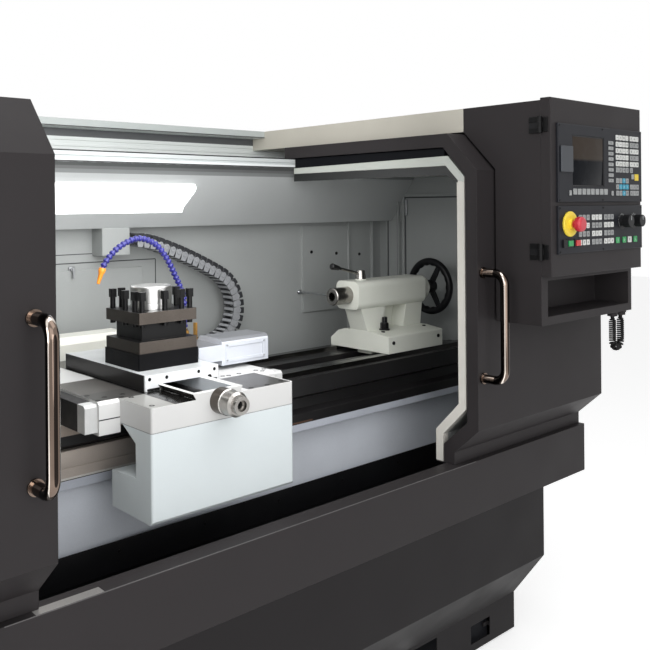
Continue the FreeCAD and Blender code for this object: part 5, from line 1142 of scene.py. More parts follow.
# ---------------------------------------------------------------- cord
@dataclass
class CurlyCord:
    """Coiled cord of the hand control, hung in a loop from two glands under the station."""

    legs: Span = (1144.0, 1194.0)
    y: float = -640.0
    top: float = 1076.0
    low: float = 975.5
    wire: float = 5.2
    coil: float = 9.2
    pitch: float = 6.4
    per_turn: int = 14
    lead: float = 16.0
    look: float = 8.0
    wires_apart: float = 1.12
    least_inner: float = 0.35

    def route(self) -> list[Vector]:
        """Centre line, read from the route's smooth spline.

        Returns:
            Its points in metres.
        """
        left, right = self.legs
        middle = (self.top + self.low) / 2
        corners = [(left, self.top), (left, middle), (left, self.low), (right, self.low),
                   (right, middle), (right, self.top)]
        curve = self.curve("cord_route", [at(x, self.y, z) for x, z in corners])
        curve.resolution_u = 24
        obj = bpy.data.objects.new("cord_route", curve)
        mesh = bpy.data.meshes.new_from_object(obj)
        line = [v.co.copy() for v in mesh.vertices]
        bpy.data.meshes.remove(mesh)
        bpy.data.objects.remove(obj)
        return line

    @staticmethod
    def curve(name: str, points: list[Vector]) -> bpy.types.Curve:
        """Open NURBS curve of order 3 through its end points.

        Args:
            name: Name of the curve.
            points: Control points in metres.

        Returns:
            The curve's data.
        """
        curve = bpy.data.curves.new(name, "CURVE")
        curve.dimensions = "3D"
        spline = curve.splines.new("NURBS")
        spline.points.add(len(points) - 1)
        for slot, point in zip(spline.points, points):
            slot.co = (*point, 1.0)
        spline.order_u = 3
        spline.use_endpoint_u = True
        return curve

    def helix(self, line: list[Vector]) -> list[Vector]:
        """Turns wound round a line, wider apart where the line bends.

        Args:
            line: The centre line.

        Returns:
            Points of the wire's centre.
        """
        route = Route(line)
        lead = self.lead * MM
        coil, look = self.coil * MM, self.look * MM
        points = [route.place(0.0)]
        s, angle = lead * 0.4, 0.0
        across = Vector((0, 1, 0))
        while s < route.total - lead * 0.4:
            run = self.ahead(route, s)
            side = run.cross(across).normalized()
            radius = coil * min(1.0, s / lead, (route.total - s) / lead)
            points.append(route.place(s) + (across * math.cos(angle) + side * math.sin(angle)) * radius)
            turn = run.angle(self.ahead(route, s + look), 0.0) / look
            inner = max(self.least_inner, 1 - turn * coil)
            pitch = max(self.pitch, self.wire * self.wires_apart / inner)
            angle += 2 * math.pi / self.per_turn
            s += pitch * MM / self.per_turn
        points.append(route.place(route.total))
        return points

    @staticmethod
    def ahead(route: Route, s: float) -> Vector:
        """Direction of a route at a distance along it."""
        return (route.place(s + MM) - route.place(s - MM)).normalized()

    def build(self) -> None:
        """Makes the cord and its two tapered boots."""
        wire = self.helix(self.route())
        curve = self.curve("coiled_cord", wire)
        curve.bevel_depth = self.wire / 2 * MM
        curve.bevel_resolution = 3
        curve.resolution_u = 2
        curve.use_fill_caps = True
        curve.materials.append(SHELF.take("black_rubber"))
        cord = bpy.data.objects.new("coiled_cord", curve)
        bpy.context.scene.collection.objects.link(cord)
        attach(cord, "frame")
        boots = Stock()
        for x in self.legs:
            boots.turned([(2.9, -15.0), (3.6, -15.0), (5.0, -9.0), (5.2, -8.0), (6.4, -3.0), (8.5, 2.0)],
                         (x, self.y, self.top), Axis.Z, 20)
        boot = boots.make("cord_boots", "black_rubber", "frame")
        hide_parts("curly_cord")


# ---------------------------------------------------------------- operator station
# Bars of each printed sign, as (left, right, low, high) in halves of the sign's height.
SIGNS: tuple[tuple[Quad, ...], ...] = (
    ((-1, 1, -0.1, 0.1),),
    ((-0.1, 0.1, -1, 1), (-0.6, 0.6, -0.1, 0.1)),
    ((-0.7, -0.45, -0.9, 0.9), (0.45, 0.7, -0.9, 0.9)),
    ((-0.8, 0.8, 0.5, 0.7), (-0.8, 0.8, -0.7, -0.5)),
    ((-0.6, -0.35, -0.9, 0.9), (-0.6, 0.6, 0.65, 0.9), (-0.6, 0.4, -0.1, 0.15)),
    ((-0.9, 0.1, -0.12, 0.12), (0.1, 0.34, -0.5, 0.5), (0.5, 0.7, -0.3, 0.3)),
    ((-0.6, 0.6, 0.6, 0.85), (-0.12, 0.12, -0.9, 0.7)),
    ((-0.7, 0.7, -0.9, -0.65), (-0.7, -0.45, -0.9, 0.9)),
)


class Shade(Enum):
    """Keys of one colour, or signs of one ink: name of the object and its finish."""

    WHITE = ("white_keys", "key_white")
    GREY = ("grey_keys", "key_grey")
    CYAN = ("cyan_keys", "key_cyan")
    YELLOW = ("yellow_key", "key_yellow")
    GREEN = ("green_keys", "green_plastic")
    DARK_SIGN = ("dark_key_signs", "print_dark")
    PALE_SIGN = ("pale_key_signs", "print_pale")


@dataclass
class OperatorStation:
    """Keys, glass, printed marks and fittings of the two panel units and their door."""

    face: float = -709.0
    key: float = 15.0
    key_rise: float = 2.4
    columns_left: tuple[float, ...] = (1052.0, 1071.5, 1091.5, 1111.5)
    columns_right: tuple[float, ...] = (1138.0, 1156.5, 1175.0)
    rows: tuple[float, ...] = (1629.0, 1609.0, 1589.5, 1569.5, 1550.0, 1531.5)
    low_rows: tuple[float, ...] = (1499.0, 1480.5, 1461.5)
    soft_keys: tuple[float, ...] = (812.0, 835.5, 860.0, 884.0, 908.0, 933.0, 958.0, 983.0)
    side_keys: tuple[float, ...] = (1611.0, 1595.0, 1579.0, 1563.0, 1547.0, 1531.0, 1515.0, 1499.0)
    panel_rows: tuple[float, ...] = (1391.0, 1368.0, 1344.0, 1320.0)
    screen_x: Span = (801.0, 976.0)
    screen_z: Span = (1479.0, 1625.0)
    estop: Span = (783.0, 1374.0)
    dials: tuple[Span, ...] = ((1078.0, 1377.0), (1150.0, 1377.0))
    dial_scale: float = 25.0
    key_groups: tuple[Point, ...] = ((838.0, 859.0, 880.0), (910.0, 929.5, 949.0), (979.0, 998.5, 1018.0))
    cyan_columns: tuple[tuple[int, ...], ...] = ((2,), (1, 2, 3), (2,))
    stocks: dict[Shade, Stock] = field(default_factory=lambda: {shade: Stock() for shade in Shade})
    signs: int = 0

    def press_key(self, stock: Stock, x: float, z: float, wide: float, high: float) -> None:
        """Key with a dished rim, standing on the unit's face.

        Args:
            stock: Where it is gathered.
            x: Middle of the key.
            z: Middle of the key.
            wide: Width.
            high: Height.
        """
        outline = rounded(about(x, wide / 2), about(z, high / 2), 1.6, 2)
        brim, dish = shrunk(outline, 0.6), shrunk(outline, 2.2)
        top = self.face - self.key_rise
        stock.loft([stock.lift(ring, y, Axis.Y) for ring, y in (
            (outline, self.face + 0.4), (outline, top + 0.6), (brim, top), (dish, top + 0.45))])

    def glyph(self, stock: Stock, x: float, z: float, kind: int, size: float = 4.0) -> None:
        """Small printed sign on a key.

        Args:
            stock: Where it is gathered.
            x: Middle of the key.
            z: Middle of the key.
            kind: Which of the signs.
            size: Half of its height.
        """
        top = self.face - self.key_rise
        y = (top - 0.02, top + 0.55)
        thin = size * 0.16
        for a, b, c, d in SIGNS[kind % len(SIGNS)]:
            stock.block((x + a * size, x + max(b * size, a * size + thin)), y,
                        (z + c * size, z + max(d * size, c * size + thin)), Axis.Y, 0.1, 0.05)

    def add_key(self, shade: Shade, x: float, z: float, wide: float, high: float,
                sign: float = 0.0, step: int = 1) -> None:
        """Key with its sign, in dark ink on white and grey, and in pale ink on the rest.

        Args:
            shade: Colour of the key.
            x: Middle of the key.
            z: Middle of the key.
            wide: Width.
            high: Height.
            sign: Half the sign's height, or 0 for a key without one.
            step: How many signs on the next key's sign is.
        """
        self.press_key(self.stocks[shade], x, z, wide, high)
        if sign:
            ink = Shade.DARK_SIGN if shade in (Shade.WHITE, Shade.GREY) else Shade.PALE_SIGN
            self.glyph(self.stocks[ink], x, z, self.signs, sign)
            self.signs += step

    def letter_keys(self) -> None:
        """Letter and number keys of the upper unit."""
        for r, z in enumerate(self.rows):
            for x in self.columns_left + self.columns_right:
                if x > 1150 and r == 5:
                    continue
                grey = r == 5 or (x > 1130 and r in (1, 3))
                self.add_key(Shade.GREY if grey else Shade.WHITE, x, z, self.key, self.key, 4.0)

    def cursor_keys(self) -> None:
        """Cursor keys under the letters, and the keys right of them."""
        for z, cyan in zip(self.low_rows, self.cyan_columns):
            for c, x in enumerate(self.columns_left):
                self.add_key(Shade.CYAN if c in cyan else Shade.GREY, x, z, self.key, self.key, 3.2, 3)
            for x in self.columns_right:
                if z < 1490:
                    self.add_key(Shade.GREY, x, z, self.key, self.key, 3.2)
        self.add_key(Shade.YELLOW, 1170.5, 1510.5, 22.0, 20.0)
        self.add_key(Shade.GREY, 1147.0, 1512.0, 14.0, 15.0)

    def screen_keys(self) -> None:
        """Keys under the screen and beside it."""
        for x in self.soft_keys:
            self.add_key(Shade.GREY, x, 1465.0, 18.0, 17.0)
        for x in (788.0, 1022.0):
            self.add_key(Shade.GREY, x, 1461.0, 10.0, 14.0)
        for z in self.side_keys:
            self.add_key(Shade.GREY, 1014.0, z, 27.0, 10.5, 2.6)

    def machine_keys(self) -> None:
        """Keys of the lower unit: three groups, and a row of four under the dials."""
        for g, columns in enumerate(self.key_groups):
            for r, z in enumerate(self.panel_rows):
                for x in columns:
                    shade = Shade.WHITE if (g + r) % 2 else Shade.GREY
                    self.add_key(shade, x, z, 14.5, 15.5, 3.6, 5)
        for x in (1051.0, 1091.0, 1124.0, 1160.0):
            self.add_key(Shade.WHITE if x == 1124.0 else Shade.GREEN, x, 1320.0, 20.0, 18.0, 4.6, 3)

    def keypads(self) -> None:
        """All push keys of both units, one object to a colour."""
        self.letter_keys()
        self.cursor_keys()
        self.screen_keys()
        self.machine_keys()
        for shade, stock in self.stocks.items():
            stock.make(*shade.value, "panel")

    def screen(self) -> None:
        """Glass of the screen in its sunk frame."""
        glass, rim = Stock(), Stock()
        x, z = self.screen_x, self.screen_z
        outline = rounded((x[0] + 0.4, x[1] - 0.4), (z[0] + 0.4, z[1] - 0.4), 3.0)
        inner = shrunk(outline, 4.0)
        rim.loft([rim.lift(ring, self.face + y, Axis.Y) for ring, y in (
            (outline, 2.8), (outline, 0.6), (shrunk(outline, 0.7), 0.0), (inner, 2.1), (inner, 2.8))],
                 False, True)
        edge = rounded((x[0] + 4.0, x[1] - 4.0), (z[0] + 4.0, z[1] - 4.0), 3.0)
        glass.loft([glass.lift(shrunk(edge, depth), self.face + y, Axis.Y)
                    for depth, y in ((0.0, 2.85), (0.0, 2.3), (0.8, 2.0))])
        rim.make("screen_rim", "black_plastic", "panel")
        glass.make("screen_glass", "screen_glass", "panel", sharp=50.0)

    def dial_marks(self) -> None:
        """Scale plates and ticks round the two dials."""
        plates, ticks = Stock(), Stock()
        for x, z in self.dials:
            rim = [(14.4, 0.3), (self.dial_scale, 0.3), (self.dial_scale, -0.5),
                   (self.dial_scale - 0.5, -0.9), (14.8, -0.9), (14.4, -0.6)]
            plates.turned(rim, (x, self.face, z), Axis.Y, 40, True)
            for k in range(21):
                angle = math.radians(220 - k * 13)
                start = len(ticks.points)
                long = 4.4 if k % 2 == 0 else 2.6
                ticks.block((19.0, 19.0 + long), (self.face - 1.05, self.face - 0.6), (-0.4, 0.4),
                            Axis.Y, 0.1, 0.05)
                ticks.turn(start, Matrix.Translation((x, 0, z)) @ Matrix.Rotation(-angle, 4, "Y"))
        plates.make("dial_plates", "black_plastic", "panel")
        ticks.make("dial_ticks", "print_pale", "panel")

    def dial_caps(self) -> None:
        """Knurled cap of each dial, with its pointer."""
        for knob, (x, z) in zip(("feed_knob", "speed_knob"), self.dials):
            cap, pointer = Stock(), Stock()
            rings = []
            for radius, y in ((17.6, -9.0), (18.4, -10.0), (18.4, -30.0), (17.2, -31.6)):
                ring = []
                for k in range(60):
                    reach, angle = radius - 0.7 * (k % 2), math.pi * k / 30
                    ring.append((x + reach * math.cos(angle), z + reach * math.sin(angle)))
                rings.append(cap.lift(ring, self.face + y, Axis.Y))
            cap.loft(rings)
            pointer.block(about(x, 0.8), (self.face - 32.0, self.face - 31.4), (z + 3.0, z + 15.5),
                          Axis.Y, 0.3, 0.1)
            cap.make(f"{knob}_cap", "black_plastic", knob)
            pointer.make(f"{knob}_pointer", "print_pale", knob)

    def estop_collar(self) -> None:
        """Yellow ring under the stop button's head."""
        ring = Stock()
        x, z = self.estop
        ring.turned([(14.6, 0.3), (35.5, 0.3), (35.5, -4.2), (34.2, -5.6), (30.0, -6.4), (25.0, -6.4),
                     (22.6, -3.4), (14.6, -3.0)], (x, self.face, z), Axis.Y, 48, True)
        ring.make("stop_collar", "yellow_plastic", "panel")

    def corner_screws(self) -> None:
        """Screws along the edges of both units."""
        screws = Stock()
        screws.cap_screws(((x, self.face, z) for z in (1441.5, 1648.5, 1297.0, 1418.0)
                           for x in (736.0, 968.0, 1200.0)), Axis.Y, -1, 2.6, 1.4)
        screws.make("panel_screws", "black_oxide", "panel")

    def hinge_leaves(self) -> None:
        """Leaves of the box's hinges, with four screws each."""
        leaves = Stock()
        for z in (1298.0, 1650.0):
            leaves.block((701.8, 704.2), (-667.0, -633.0), about(z, 21.0), Axis.X, 2.0, 0.6)
            leaves.cap_screws(((702.0, y, up) for y in (-656.0, -643.0) for up in about(z, 12.0)),
                              Axis.X, -1, 2.6, 1.2)
        leaves.make("box_hinge_leaves", "black_plastic", "frame")

    def button_frames(self) -> None:
        """Frames of the two push buttons, and the small block left of them."""
        frames = Stock()
        for x in (782.0, 821.0):
            outline = rounded(about(x, 16.0), (1307.5, 1332.5), 2.0)
            inner = rounded(about(x, 14.2), (1308.8, 1331.2), 1.0)
            frames.loft([frames.lift(ring, self.face + y, Axis.Y) for ring, y in (
                (outline, 0.2), (outline, -1.2), (shrunk(outline, 0.5), -1.8), (inner, -1.8),
                (inner, 0.2))], False, True)
        frames.block((745.0, 764.0), (self.face - 6.0, self.face + 0.3), (1309.0, 1331.0), Axis.Y,
                     1.5, 0.8)
        frames.make("push_button_frames", "black_plastic", "panel")

    def build(self) -> None:
        """Makes every piece of the station."""
        self.keypads()
        self.screen()
        self.dial_marks()
        self.dial_caps()
        self.estop_collar()
        self.corner_screws()
        self.hinge_leaves()
        self.button_frames()


# ---------------------------------------------------------------- coolant hose
@dataclass
class CoolantHose:
    """Jointed hose of ball-and-cup links that holds its own shape, with a tapered nozzle."""

    y: float = 9.0
    stem: tuple[Span, ...] = ((-19.4, 1096.0), (-19.4, 1157.0), (-28.0, 1197.0), (-48.0, 1240.0),
                              (-77.0, 1293.0), (-112.0, 1332.0), (-163.0, 1348.0), (-218.0, 1328.0),
                              (-257.0, 1291.0), (-271.0, 1260.0), (-279.0, 1235.0))
    link: float = 12.6
    ball: float = 8.6
    nozzle: float = 42.0

    def line(self) -> list[Vector]:
        """Smooth line through the route.

        Returns:
            Its points, close together.
        """
        points = [Vector((x, self.y, z)) for x, z in self.stem]
        ends = [points[0] * 2 - points[1], *points, points[-1] * 2 - points[-2]]
        out = []
        for i in range(1, len(ends) - 2):
            a, b, c, d = ends[i - 1:i + 3]
            for k in range(24):
                t = k / 24
                out.append(0.5 * ((2 * b) + (c - a) * t + (2 * a - 5 * b + 4 * c - d) * t * t
                                  + (3 * b - a - 3 * c + d) * t ** 3))
        out.append(points[-1])
        return out

    def build(self) -> None:
        """Makes the links and the nozzle."""
        route = Route(self.line())
        links, tip = Stock(), Stock()
        total = route.total - self.nozzle
        count = int(total / self.link)
        step = total / count
        profile = ((0.0, 0.62), (0.08, 0.9), (0.22, 1.0), (0.5, 1.0), (0.62, 0.9), (0.7, 0.66),
                   (0.88, 0.6), (1.0, 0.64))
        for k in range(count):
            links.swept([route.place((k + t) * step) for t, _ in profile],
                        [self.ball * r for _, r in profile], 16)
        shape = ((0.0, 8.4), (0.06, 9.2), (0.22, 9.2), (0.3, 7.8), (0.36, 6.6), (0.92, 4.2),
                 (0.98, 4.0), (1.0, 3.6), (0.98, 2.4), (0.7, 2.2))
        points = [route.place(total + t * self.nozzle) for t, _ in shape]
        heading = (route.place(route.total) - route.place(total)).normalized()
        tip.swept(points, [r for _, r in shape], 20, heading)
        chain = links.make("coolant_hose_links", "blue_plastic", "hose", sharp=40.0)
        nozzle = tip.make("coolant_nozzle", "orange_plastic", "hose", sharp=40.0)
        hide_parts("coolant_hose")
        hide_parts("coolant_hose")


# ---------------------------------------------------------------- cable chain
@dataclass
class ChainDetail:
    """Bars across every link of the cable chain, and the round joints of its side plates."""

    y: float = 430.0
    start: Span = (58.3, 1327.0)
    heading: float = -3.0
    runs: tuple[Span, ...] = ((75.0, 16.0), (275.0, 10.0), (175.0, 70.0), (125.0, 69.0), (208.0, 0.0))
    pitch: float = 25.0
    half_width: float = 30.0
    half_height: float = 22.0

    def links(self) -> list[tuple[float, float, float, float]]:
        """Place of each link, in order from the cable box.

        Returns:
            X, Z, heading and length of each link.
        """
        heading = math.radians(self.heading)
        x, z = self.start
        steps = []
        for length, turn in self.runs:
            count = max(1, round(length / self.pitch))
            for _ in range(count):
                heading -= math.radians(turn) / count / 2
                steps.append((x, z, heading, length / count))
                x += math.cos(heading) * length / count
                z += math.sin(heading) * length / count
                heading -= math.radians(turn) / count / 2
        return steps

    def build(self) -> None:
        """Makes the bars and joints."""
        bars, joints, rims = Stock(), Stock(), Stock()
        for x, z, heading, length in self.links():
            spot = Matrix.Translation((x, self.y, z)) @ Matrix.Rotation(-heading, 4, "Y")
            starts = [len(stock.points) for stock in (bars, joints, rims)]
            for y in (-self.half_width - 0.9, self.half_width - 0.5):
                rims.block((length * 0.08, length * 0.92), (y, y + 1.4), (5.0, self.half_height + 0.4),
                           Axis.Y, 2.0, 0.4)
            for side in (-1, 1):
                bars.block((length * 0.2, length * 0.58), about(0.0, self.half_width - 3),
                           mirrored(side, self.half_height - 1.5, self.half_height + 0.9), Axis.Z,
                           2.2, 0.7)
                joints.turned([(9.5, -0.4), (9.5, 0.9 * side), (8.6, 1.5 * side), (4.2, 1.5 * side),
                               (3.6, 0.7 * side), (0.0, 0.7 * side)],
                              (length * 0.5, side * self.half_width, 0.0), Axis.Y, 20)
            for stock, start in zip((bars, joints, rims), starts):
                stock.turn(start, spot)
        bars.make("chain_bars", "chain_bar", "frame")
        joints.make("chain_joints", "chain_plastic", "frame")
        rims.make("chain_rims", "chain_dark", "frame")


# ---------------------------------------------------------------- slide group
@dataclass
class SaddleDetail:
    """Screws of the saddle and the slide, and the slide's wipers."""

    top: float = 983.0
    left_screws: tuple[Span, ...] = ((-302.0, -155.0), (-304.0, -201.0), (-312.0, -308.0),
                                     (-320.0, -182.0), (8.0, -159.0), (-8.0, -155.0))
    right_screws: tuple[Span, ...] = ((42.0, -159.0), (-41.0, -321.0), (9.0, -321.0), (64.0, -309.0))
    wing_screws: tuple[Span, ...] = ((-349.0, -154.0), (-372.0, -112.0), (-376.0, -176.0),
                                     (101.0, -156.0), (108.0, -176.0), (128.0, -157.0))
    slide_screws: tuple[Span, ...] = ((-242.0, 1012.0), (-194.0, 1011.0), (-100.0, 1012.0),
                                      (-52.0, 1012.0))
    slide_front: float = -180.0

    def on_saddle(self) -> None:
        """Sunk screws on the saddle's top."""
        dark = Stock()
        places = self.left_screws + self.right_screws + self.wing_screws
        dark.cap_screws(((x, y, self.top - 0.6) for x, y in places), Axis.Z, 1, 6.8, 1.0)
        dark.make("saddle_screws", "black_oxide", "carriage")

    def on_slide(self) -> None:
        """Sunk screws of the slide's front cover and the wiper under it."""
        dark, wiper = Stock(), Stock()
        front = self.slide_front
        dark.cap_screws(((x, front + 3.4, z) for x, z in self.slide_screws), Axis.Y, -1, 6.0, 3.0)
        dark.cap_screw((-67.0, front + 4.4, 994.0), Axis.Y, -1, 7.4, 4.0)
        dark.make("slide_screws", "black_oxide", "cross_slide")
        for x in (-232.0, -62.0):
            wiper.block(about(x, 17.0), (-182.4, -179.6), (984.0, 990.0), Axis.Y, 1.6, 0.6)
        wiper.make("slide_wipers", "black_rubber", "cross_slide")

    def build(self) -> None:
        """Makes all of them."""
        self.on_saddle()
        self.on_slide()


# ---------------------------------------------------------------- tailstock and headstock
@dataclass
class TurnedDetail:
    """Screws, scale, grip and clamp of the tailstock, and the screws and ring of the chuck."""

    axis_y: float = 124.0
    axis_z: float = 1118.0
    chuck_face: float = -565.0
    end_cap: float = 1108.0
    wheel_middle: float = 1164.0
    wheel_radius: float = 97.0
    clamp_foot: Point = (846.0, 66.0, 989.0)

    def round_axis(self, x: float, radius: float, degrees: float) -> Point:
        """Point at a radius and an angle about the spindle's axis."""
        angle = math.radians(degrees)
        return (x, self.axis_y + radius * math.cos(angle), self.axis_z + radius * math.sin(angle))

    def tailstock_screws(self) -> None:
        """Screws of the end cap and of the tailstock's base."""
        screws = Stock()
        screws.cap_screws((self.round_axis(self.end_cap, 36.0, 45 + 90 * k) for k in range(4)),
                          Axis.X, 1, 4.6, 3.6)
        screws.cap_screws(((800.0, -20.0, 958.0), (1036.0, -20.0, 958.0)), Axis.Y, -1, 6.4, 3.4)
        screws.cap_screws(((812.0, 40.0, 986.0), (1028.0, 40.0, 986.0)), Axis.Z, 1, 7.0, 5.0)
        screws.make("tailstock_screws", "black_oxide", "tailstock")

    def quill_scale(self) -> None:
        """Collar with the scale of the quill's feed, whose every fifth line is longer."""
        collar, ticks = Stock(), Stock()
        collar.turned([(11.4, -13.0), (25.0, -13.0), (26.0, -12.0), (26.0, 6.0), (24.0, 9.0),
                       (11.4, 9.0)], (1128.0, self.axis_y, self.axis_z), Axis.X, 48, True)
        for k in range(40):
            begin = len(ticks.points)
            long = 8.0 if k % 5 == 0 else 4.6
            ticks.block((1117.0, 1117.0 + long), (-0.22, 0.22), (25.6, 26.12), Axis.Z, 0.08, 0.04)
            ticks.turn(begin, Matrix.Translation((0, self.axis_y, self.axis_z))
                       @ Matrix.Rotation(math.radians(9 * k), 4, "X"))
        collar.make("handwheel_scale", "turned_steel", "handwheel")
        ticks.make("handwheel_ticks", "print_dark", "handwheel")

    def wheel_grip(self) -> None:
        """Moulded rim of the handwheel, with finger waves on its inner side."""
        grip = Stock()
        rings = []
        for k in range(144):
            angle = 2 * math.pi * k / 144
            inner = 16.5 + 1.6 * math.cos(18 * angle)
            out = Vector((0, math.cos(angle), math.sin(angle)))
            ring = []
            for m in range(16):
                turn = 2 * math.pi * m / 16
                reach = math.cos(turn)
                deep = reach * (11.5 if reach > 0 else inner)
                ring.append(Vector((self.wheel_middle + math.sin(turn) * 12.5, self.axis_y, self.axis_z))
                            + out * (self.wheel_radius + deep))
            rings.append(ring)
        grip.loft(rings, False, True)
        grip.make("handwheel_grip", "black_plastic", "handwheel", sharp=60.0)

    def clamp(self) -> None:
        """Clamp nut, washer and stud between the tailstock's legs."""
        nut, stud = Stock(), Stock()
        foot = self.clamp_foot
        nut.turned([(19.0, 0.0), (19.0, 4.0), (17.0, 5.0), (15.0, 5.0)], foot, Axis.Z, 28)
        nut.turned([(13.0, 4.8), (15.4, 7.0), (15.4, 24.0), (13.2, 26.4), (8.0, 26.4)], foot, Axis.Z, 6)
        stud.turned([(8.4, 20.0), (8.4, 44.0), (7.2, 46.0), (0.0, 46.0)], foot, Axis.Z, 20)
        nut.make("clamp_nut", "black_oxide", "tailstock", sharp=25.0)
        stud.make("clamp_stud", "black_oxide", "tailstock")

    def chuck(self) -> None:
        """Screws between the jaws, and the dark line near the rim of the chuck's face."""
        screws, rings = Stock(), Stock()
        screws.cap_screws((self.round_axis(self.chuck_face, 70.0, 30 + 120 * k) for k in range(3)),
                          Axis.X, 1, 7.0, 1.2)
        rings.turned([(92.0, 0.4), (92.0, -0.3), (93.2, -0.3), (93.2, 0.4)],
                     (self.chuck_face, self.axis_y, self.axis_z), Axis.X, 64, True)
        screws.make("chuck_screws", "black_oxide", "spindle")
        rings.make("chuck_ring", "black_oxide", "spindle")

    def build(self) -> None:
        """Makes all of them."""
        self.tailstock_screws()
        self.quill_scale()
        self.wheel_grip()
        self.clamp()
        self.chuck()


# ---------------------------------------------------------------- enclosure
@dataclass
class EnclosureDetail:
    """Fittings of the doors and their frames, walls, bed way, casing, box and back."""

    handles: tuple[tuple[str, float], ...] = (("left_door", -668.0), ("right_door", 650.0))
    handle_mid: float = 1084.0
    handle_half: float = 151.5
    door_face: float = -508.0
    wall: float = 1303.0
    post: float = 1289.0
    foot_sheet: float = -50.0
    seam_ease: Span = (0.4, 0.2)

    def handle_feet(self) -> None:
        """Turned collar under each foot of the two pulls."""
        for door, x in self.handles:
            feet = Stock()
            for z in about(self.handle_mid, self.handle_half):
                feet.turned([(12.6, 0.4), (15.6, 0.4), (15.6, -2.0), (14.8, -3.2), (13.4, -3.8),
                             (12.6, -3.8)], (x, self.door_face, z), Axis.Y, 32, True)
            feet.make(f"{door}_handle_feet", "chrome_tube", door)

    def wall_details(self) -> None:
        """Screws of the rear wall's covers, and the thin rod that stands out behind the quill."""
        screws, rod = Stock(), Stock()
        for x, z in ((898.0, 1247.0), (1034.0, 1236.0), (1174.0, 1226.0), (1174.0, 1090.0)):
            screws.cap_screw((x, 512.0 if x < 1099 else 520.0, z), Axis.Y, -1, 6.4, 2.6)
        rod.turned([(9.0, 0.2), (9.0, -6.0), (7.0, -8.0), (3.6, -8.0), (3.6, -250.0), (2.6, -252.0)],
                   (838.0, 520.0, 1092.0), Axis.Y, 20)
        screws.make("wall_screws", "black_oxide", "frame")
        rod.make("wall_rod", "zinc_steel", "frame")

    def tray_sheets(self) -> None:
        """Folded black sheet that covers the foot of the wall below the bed, with its screws."""
        sheet, screws = Stock(), Stock()
        y = self.foot_sheet
        outline = [(y - 4.6, 512.4), (y - 0.1, 512.4), (y - 0.1, 586.0), (y - 0.8, 588.4),
                   (y - 2.2, 589.6), (y - 3.9, 589.0), (y - 4.6, 587.0)]
        sheet.prism(outline, (-1180.0, 1180.0), Axis.X, 0.6)
        screws.cap_screws(((-1040.0 + 260.0 * k, y - 4.6, 562.0) for k in range(9)), Axis.Y, -1,
                          5.0, 2.0)
        sheet.make("tray_foot_sheet", "black_plastic", "frame")
        screws.make("tray_foot_screws", "black_oxide", "frame")

    def wall_seams(self) -> None:
        """Dark seams of the post, the right end wall and the rear wall."""
        seams = Stock()
        wall, post = self.wall, self.post
        for x, y, top in ((post, 459.0, 1500.0), (post, 406.0, 1500.0), (wall, 372.5, 1460.0)):
            seams.block((x - 0.9, x), about(y, 2.4), (760.0, top), Axis.X, *self.seam_ease)
        seams.block((wall - 0.9, wall), (96.0, 376.0), (1459.0, 1464.0), Axis.X, *self.seam_ease)
        for x, z in (((-1040.0, 194.0), (1253.4, 1256.6)), ((-1040.0, -20.0), (1281.6, 1284.2)),
                     ((192.4, 195.6), (800.0, 1255.0)), ((1243.0, 1245.4), (760.0, 1384.0))):
            seams.block(x, (519.2, 520.2), z, Axis.Y, *self.seam_ease)
        seams.make("wall_seams", "seam_dark", "frame")

    def hatch_latch(self) -> None:
        """Latch of the rear wall's hatch: plate, boss and lever."""
        hatch = Stock()
        hatch.block((-121.0, -99.0), (514.0, 520.2), (1218.0, 1246.0), Axis.Y, 4.0, 1.2)
        hatch.turned([(8.0, 0.3), (8.0, -7.0), (6.6, -8.6), (0.0, -8.6)], (-110.0, 514.0, 1236.0),
                     Axis.Y, 20)
        hatch.block((-113.0, -107.0), (500.0, 506.5), (1208.0, 1242.0), Axis.Y, 2.0, 0.8)
        hatch.make("hatch_latch", "zinc_steel", "frame")

    def end_cover(self) -> None:
        """Frame and latch of the cover on the right end wall, and the bars on the post beside it."""
        bars, latch = Stock(), Stock()
        wall, post = self.wall, self.post
        for y in (466.0, 399.0):
            bars.block((post - 6.0, post), about(y, 3.5), (760.0, 1516.0), Axis.X, 1.4, 0.8)
        bars.block((wall - 9.0, wall), (90.0, 384.0), (1466.0, 1476.0), Axis.X, 1.4, 0.8)
        bars.block((wall - 7.0, wall), (376.0, 384.0), (760.0, 1467.0), Axis.X, 1.4, 0.8)
        latch.block((wall - 12.0, wall - 3.0), (358.0, 369.0), (1387.0, 1454.0), Axis.X, 3.0, 1.2)
        latch.cap_screws(((wall - 12.0, 363.5, z) for z in (1398.0, 1446.0)), Axis.X, -1, 3.4, 2.0)
        bars.make("end_cover_frame", "interior_coat", "frame")
        latch.make("end_cover_latch", "zinc_steel", "frame")

    def louvres(self) -> None:
        """Pressed hoods over the air slots of the back."""
        hoods = Stock()
        for low, high in ((-1150.0, -770.0), (760.0, 1140.0)):
            for k in range(8):
                z = 900.0 + 34.0 * k
                outline = [(646.0, z + 14.0), (652.0, z - 6.0), (643.0, z - 7.0), (639.6, z - 4.0),
                           (639.6, z + 22.0)]
                hoods.prism(outline, (low - 6.0, high + 6.0), Axis.X, 1.0)
        hoods.make("louvre_hoods", "charcoal_coat", "frame")

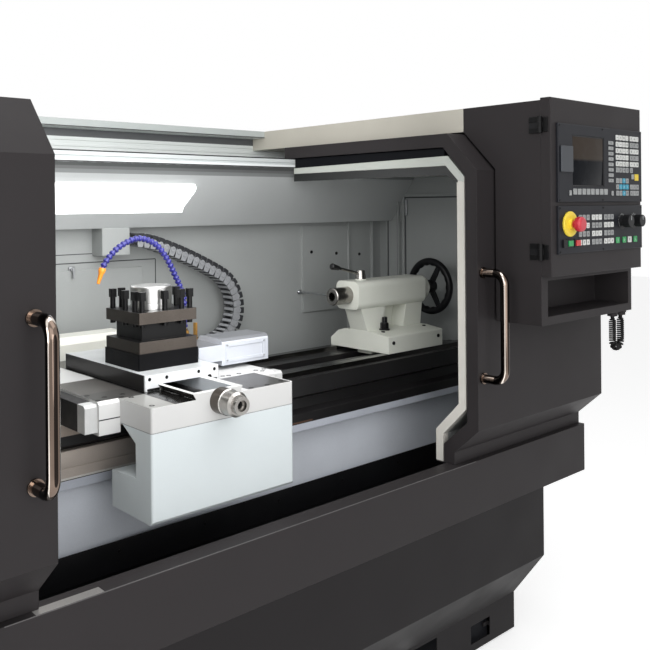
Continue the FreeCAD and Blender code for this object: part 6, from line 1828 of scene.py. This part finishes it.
    def frame_heads(self) -> None:
        """Trim over the head of each door frame, and the brush seal that closes it to the door."""
        trims, seals = Stock(), Stock()
        outline = [(-459.6, 1496.0), (-438.0, 1501.0), (-392.0, 1546.0), (299.5, 1545.0),
                   (299.5, 1565.0), (-397.0, 1575.0), (-402.0, 1573.5), (-455.0, 1518.5),
                   (-459.6, 1511.0)]
        for side in (-1, 1):
            trims.prism(outline, mirrored(side, 630.4, 652.6), Axis.X, 0.6)
            seals.block(mirrored(side, 636.0, 650.0), (-384.0, 299.0), (1560.0, 1599.0), Axis.X,
                        2.0, 0.6)
        trims.make("frame_head_trims", "frame_trim", "frame")
        seals.make("frame_head_seals", "pocket_black", "frame")

    def front_way_strip(self) -> None:
        """Ground filler strip let into the groove of the front way."""
        strip = Stock()
        strip.block((-1228.0, 84.0), (-49.9, -27.9), (801.0, 841.4), Axis.X, 0.6, 0.4)
        strip.make("front_way_strip", "way_strip", "frame")

    def pocket_shade_sheets(self) -> None:
        """Black sheets inside the fork pockets and behind the casing's small openings: painted shade."""
        shade_sheets = Stock()
        for side in (-1, 1):
            for x in (mirrored(side, 516.0, 518.0), mirrored(side, 657.0, 659.0)):
                shade_sheets.block(x, (-322.0, 560.0), (1.0, 120.0), Axis.Y, 0.6, 0.3)
            shade_sheets.block(mirrored(side, 516.0, 659.0), (-322.0, 560.0), (119.6, 121.6), Axis.Y, 0.6, 0.3)
            shade_sheets.block(mirrored(side, 814.0, 926.0), (-308.0, -306.0), (3.0, 104.0), Axis.Y, 1.0, 0.3)
        shade_sheets.make("pocket_shade_sheets", "pocket_black", "frame")

    def box_screws(self) -> None:
        """Screws of the junction box's cover."""
        screws = Stock()
        screws.cap_screws(((x, -93.0, z) for x in (52.0, 179.5) for z in (1008.0, 1049.5)), Axis.Y,
                          -1, 2.6, 1.4)
        screws.make("junction_box_screws", "zinc_steel", "cross_slide")

    def build(self) -> None:
        """Makes all of them."""
        self.handle_feet()
        self.wall_details()
        self.tray_sheets()
        self.wall_seams()
        self.hatch_latch()
        self.end_cover()
        self.louvres()
        self.frame_heads()
        self.front_way_strip()
        self.pocket_shade_sheets()
        self.box_screws()


def main() -> None:
    """Sets the studio, then makes every added piece."""
    logging.basicConfig(level=logging.INFO, format="%(name)s: %(message)s")
    Studio().build()
    CurlyCord().build()
    dress_nodes()
    OperatorStation().build()
    CoolantHose().build()
    ChainDetail().build()
    SaddleDetail().build()
    TurnedDetail().build()
    EnclosureDetail().build()


if __name__ == "__main__":
    main()
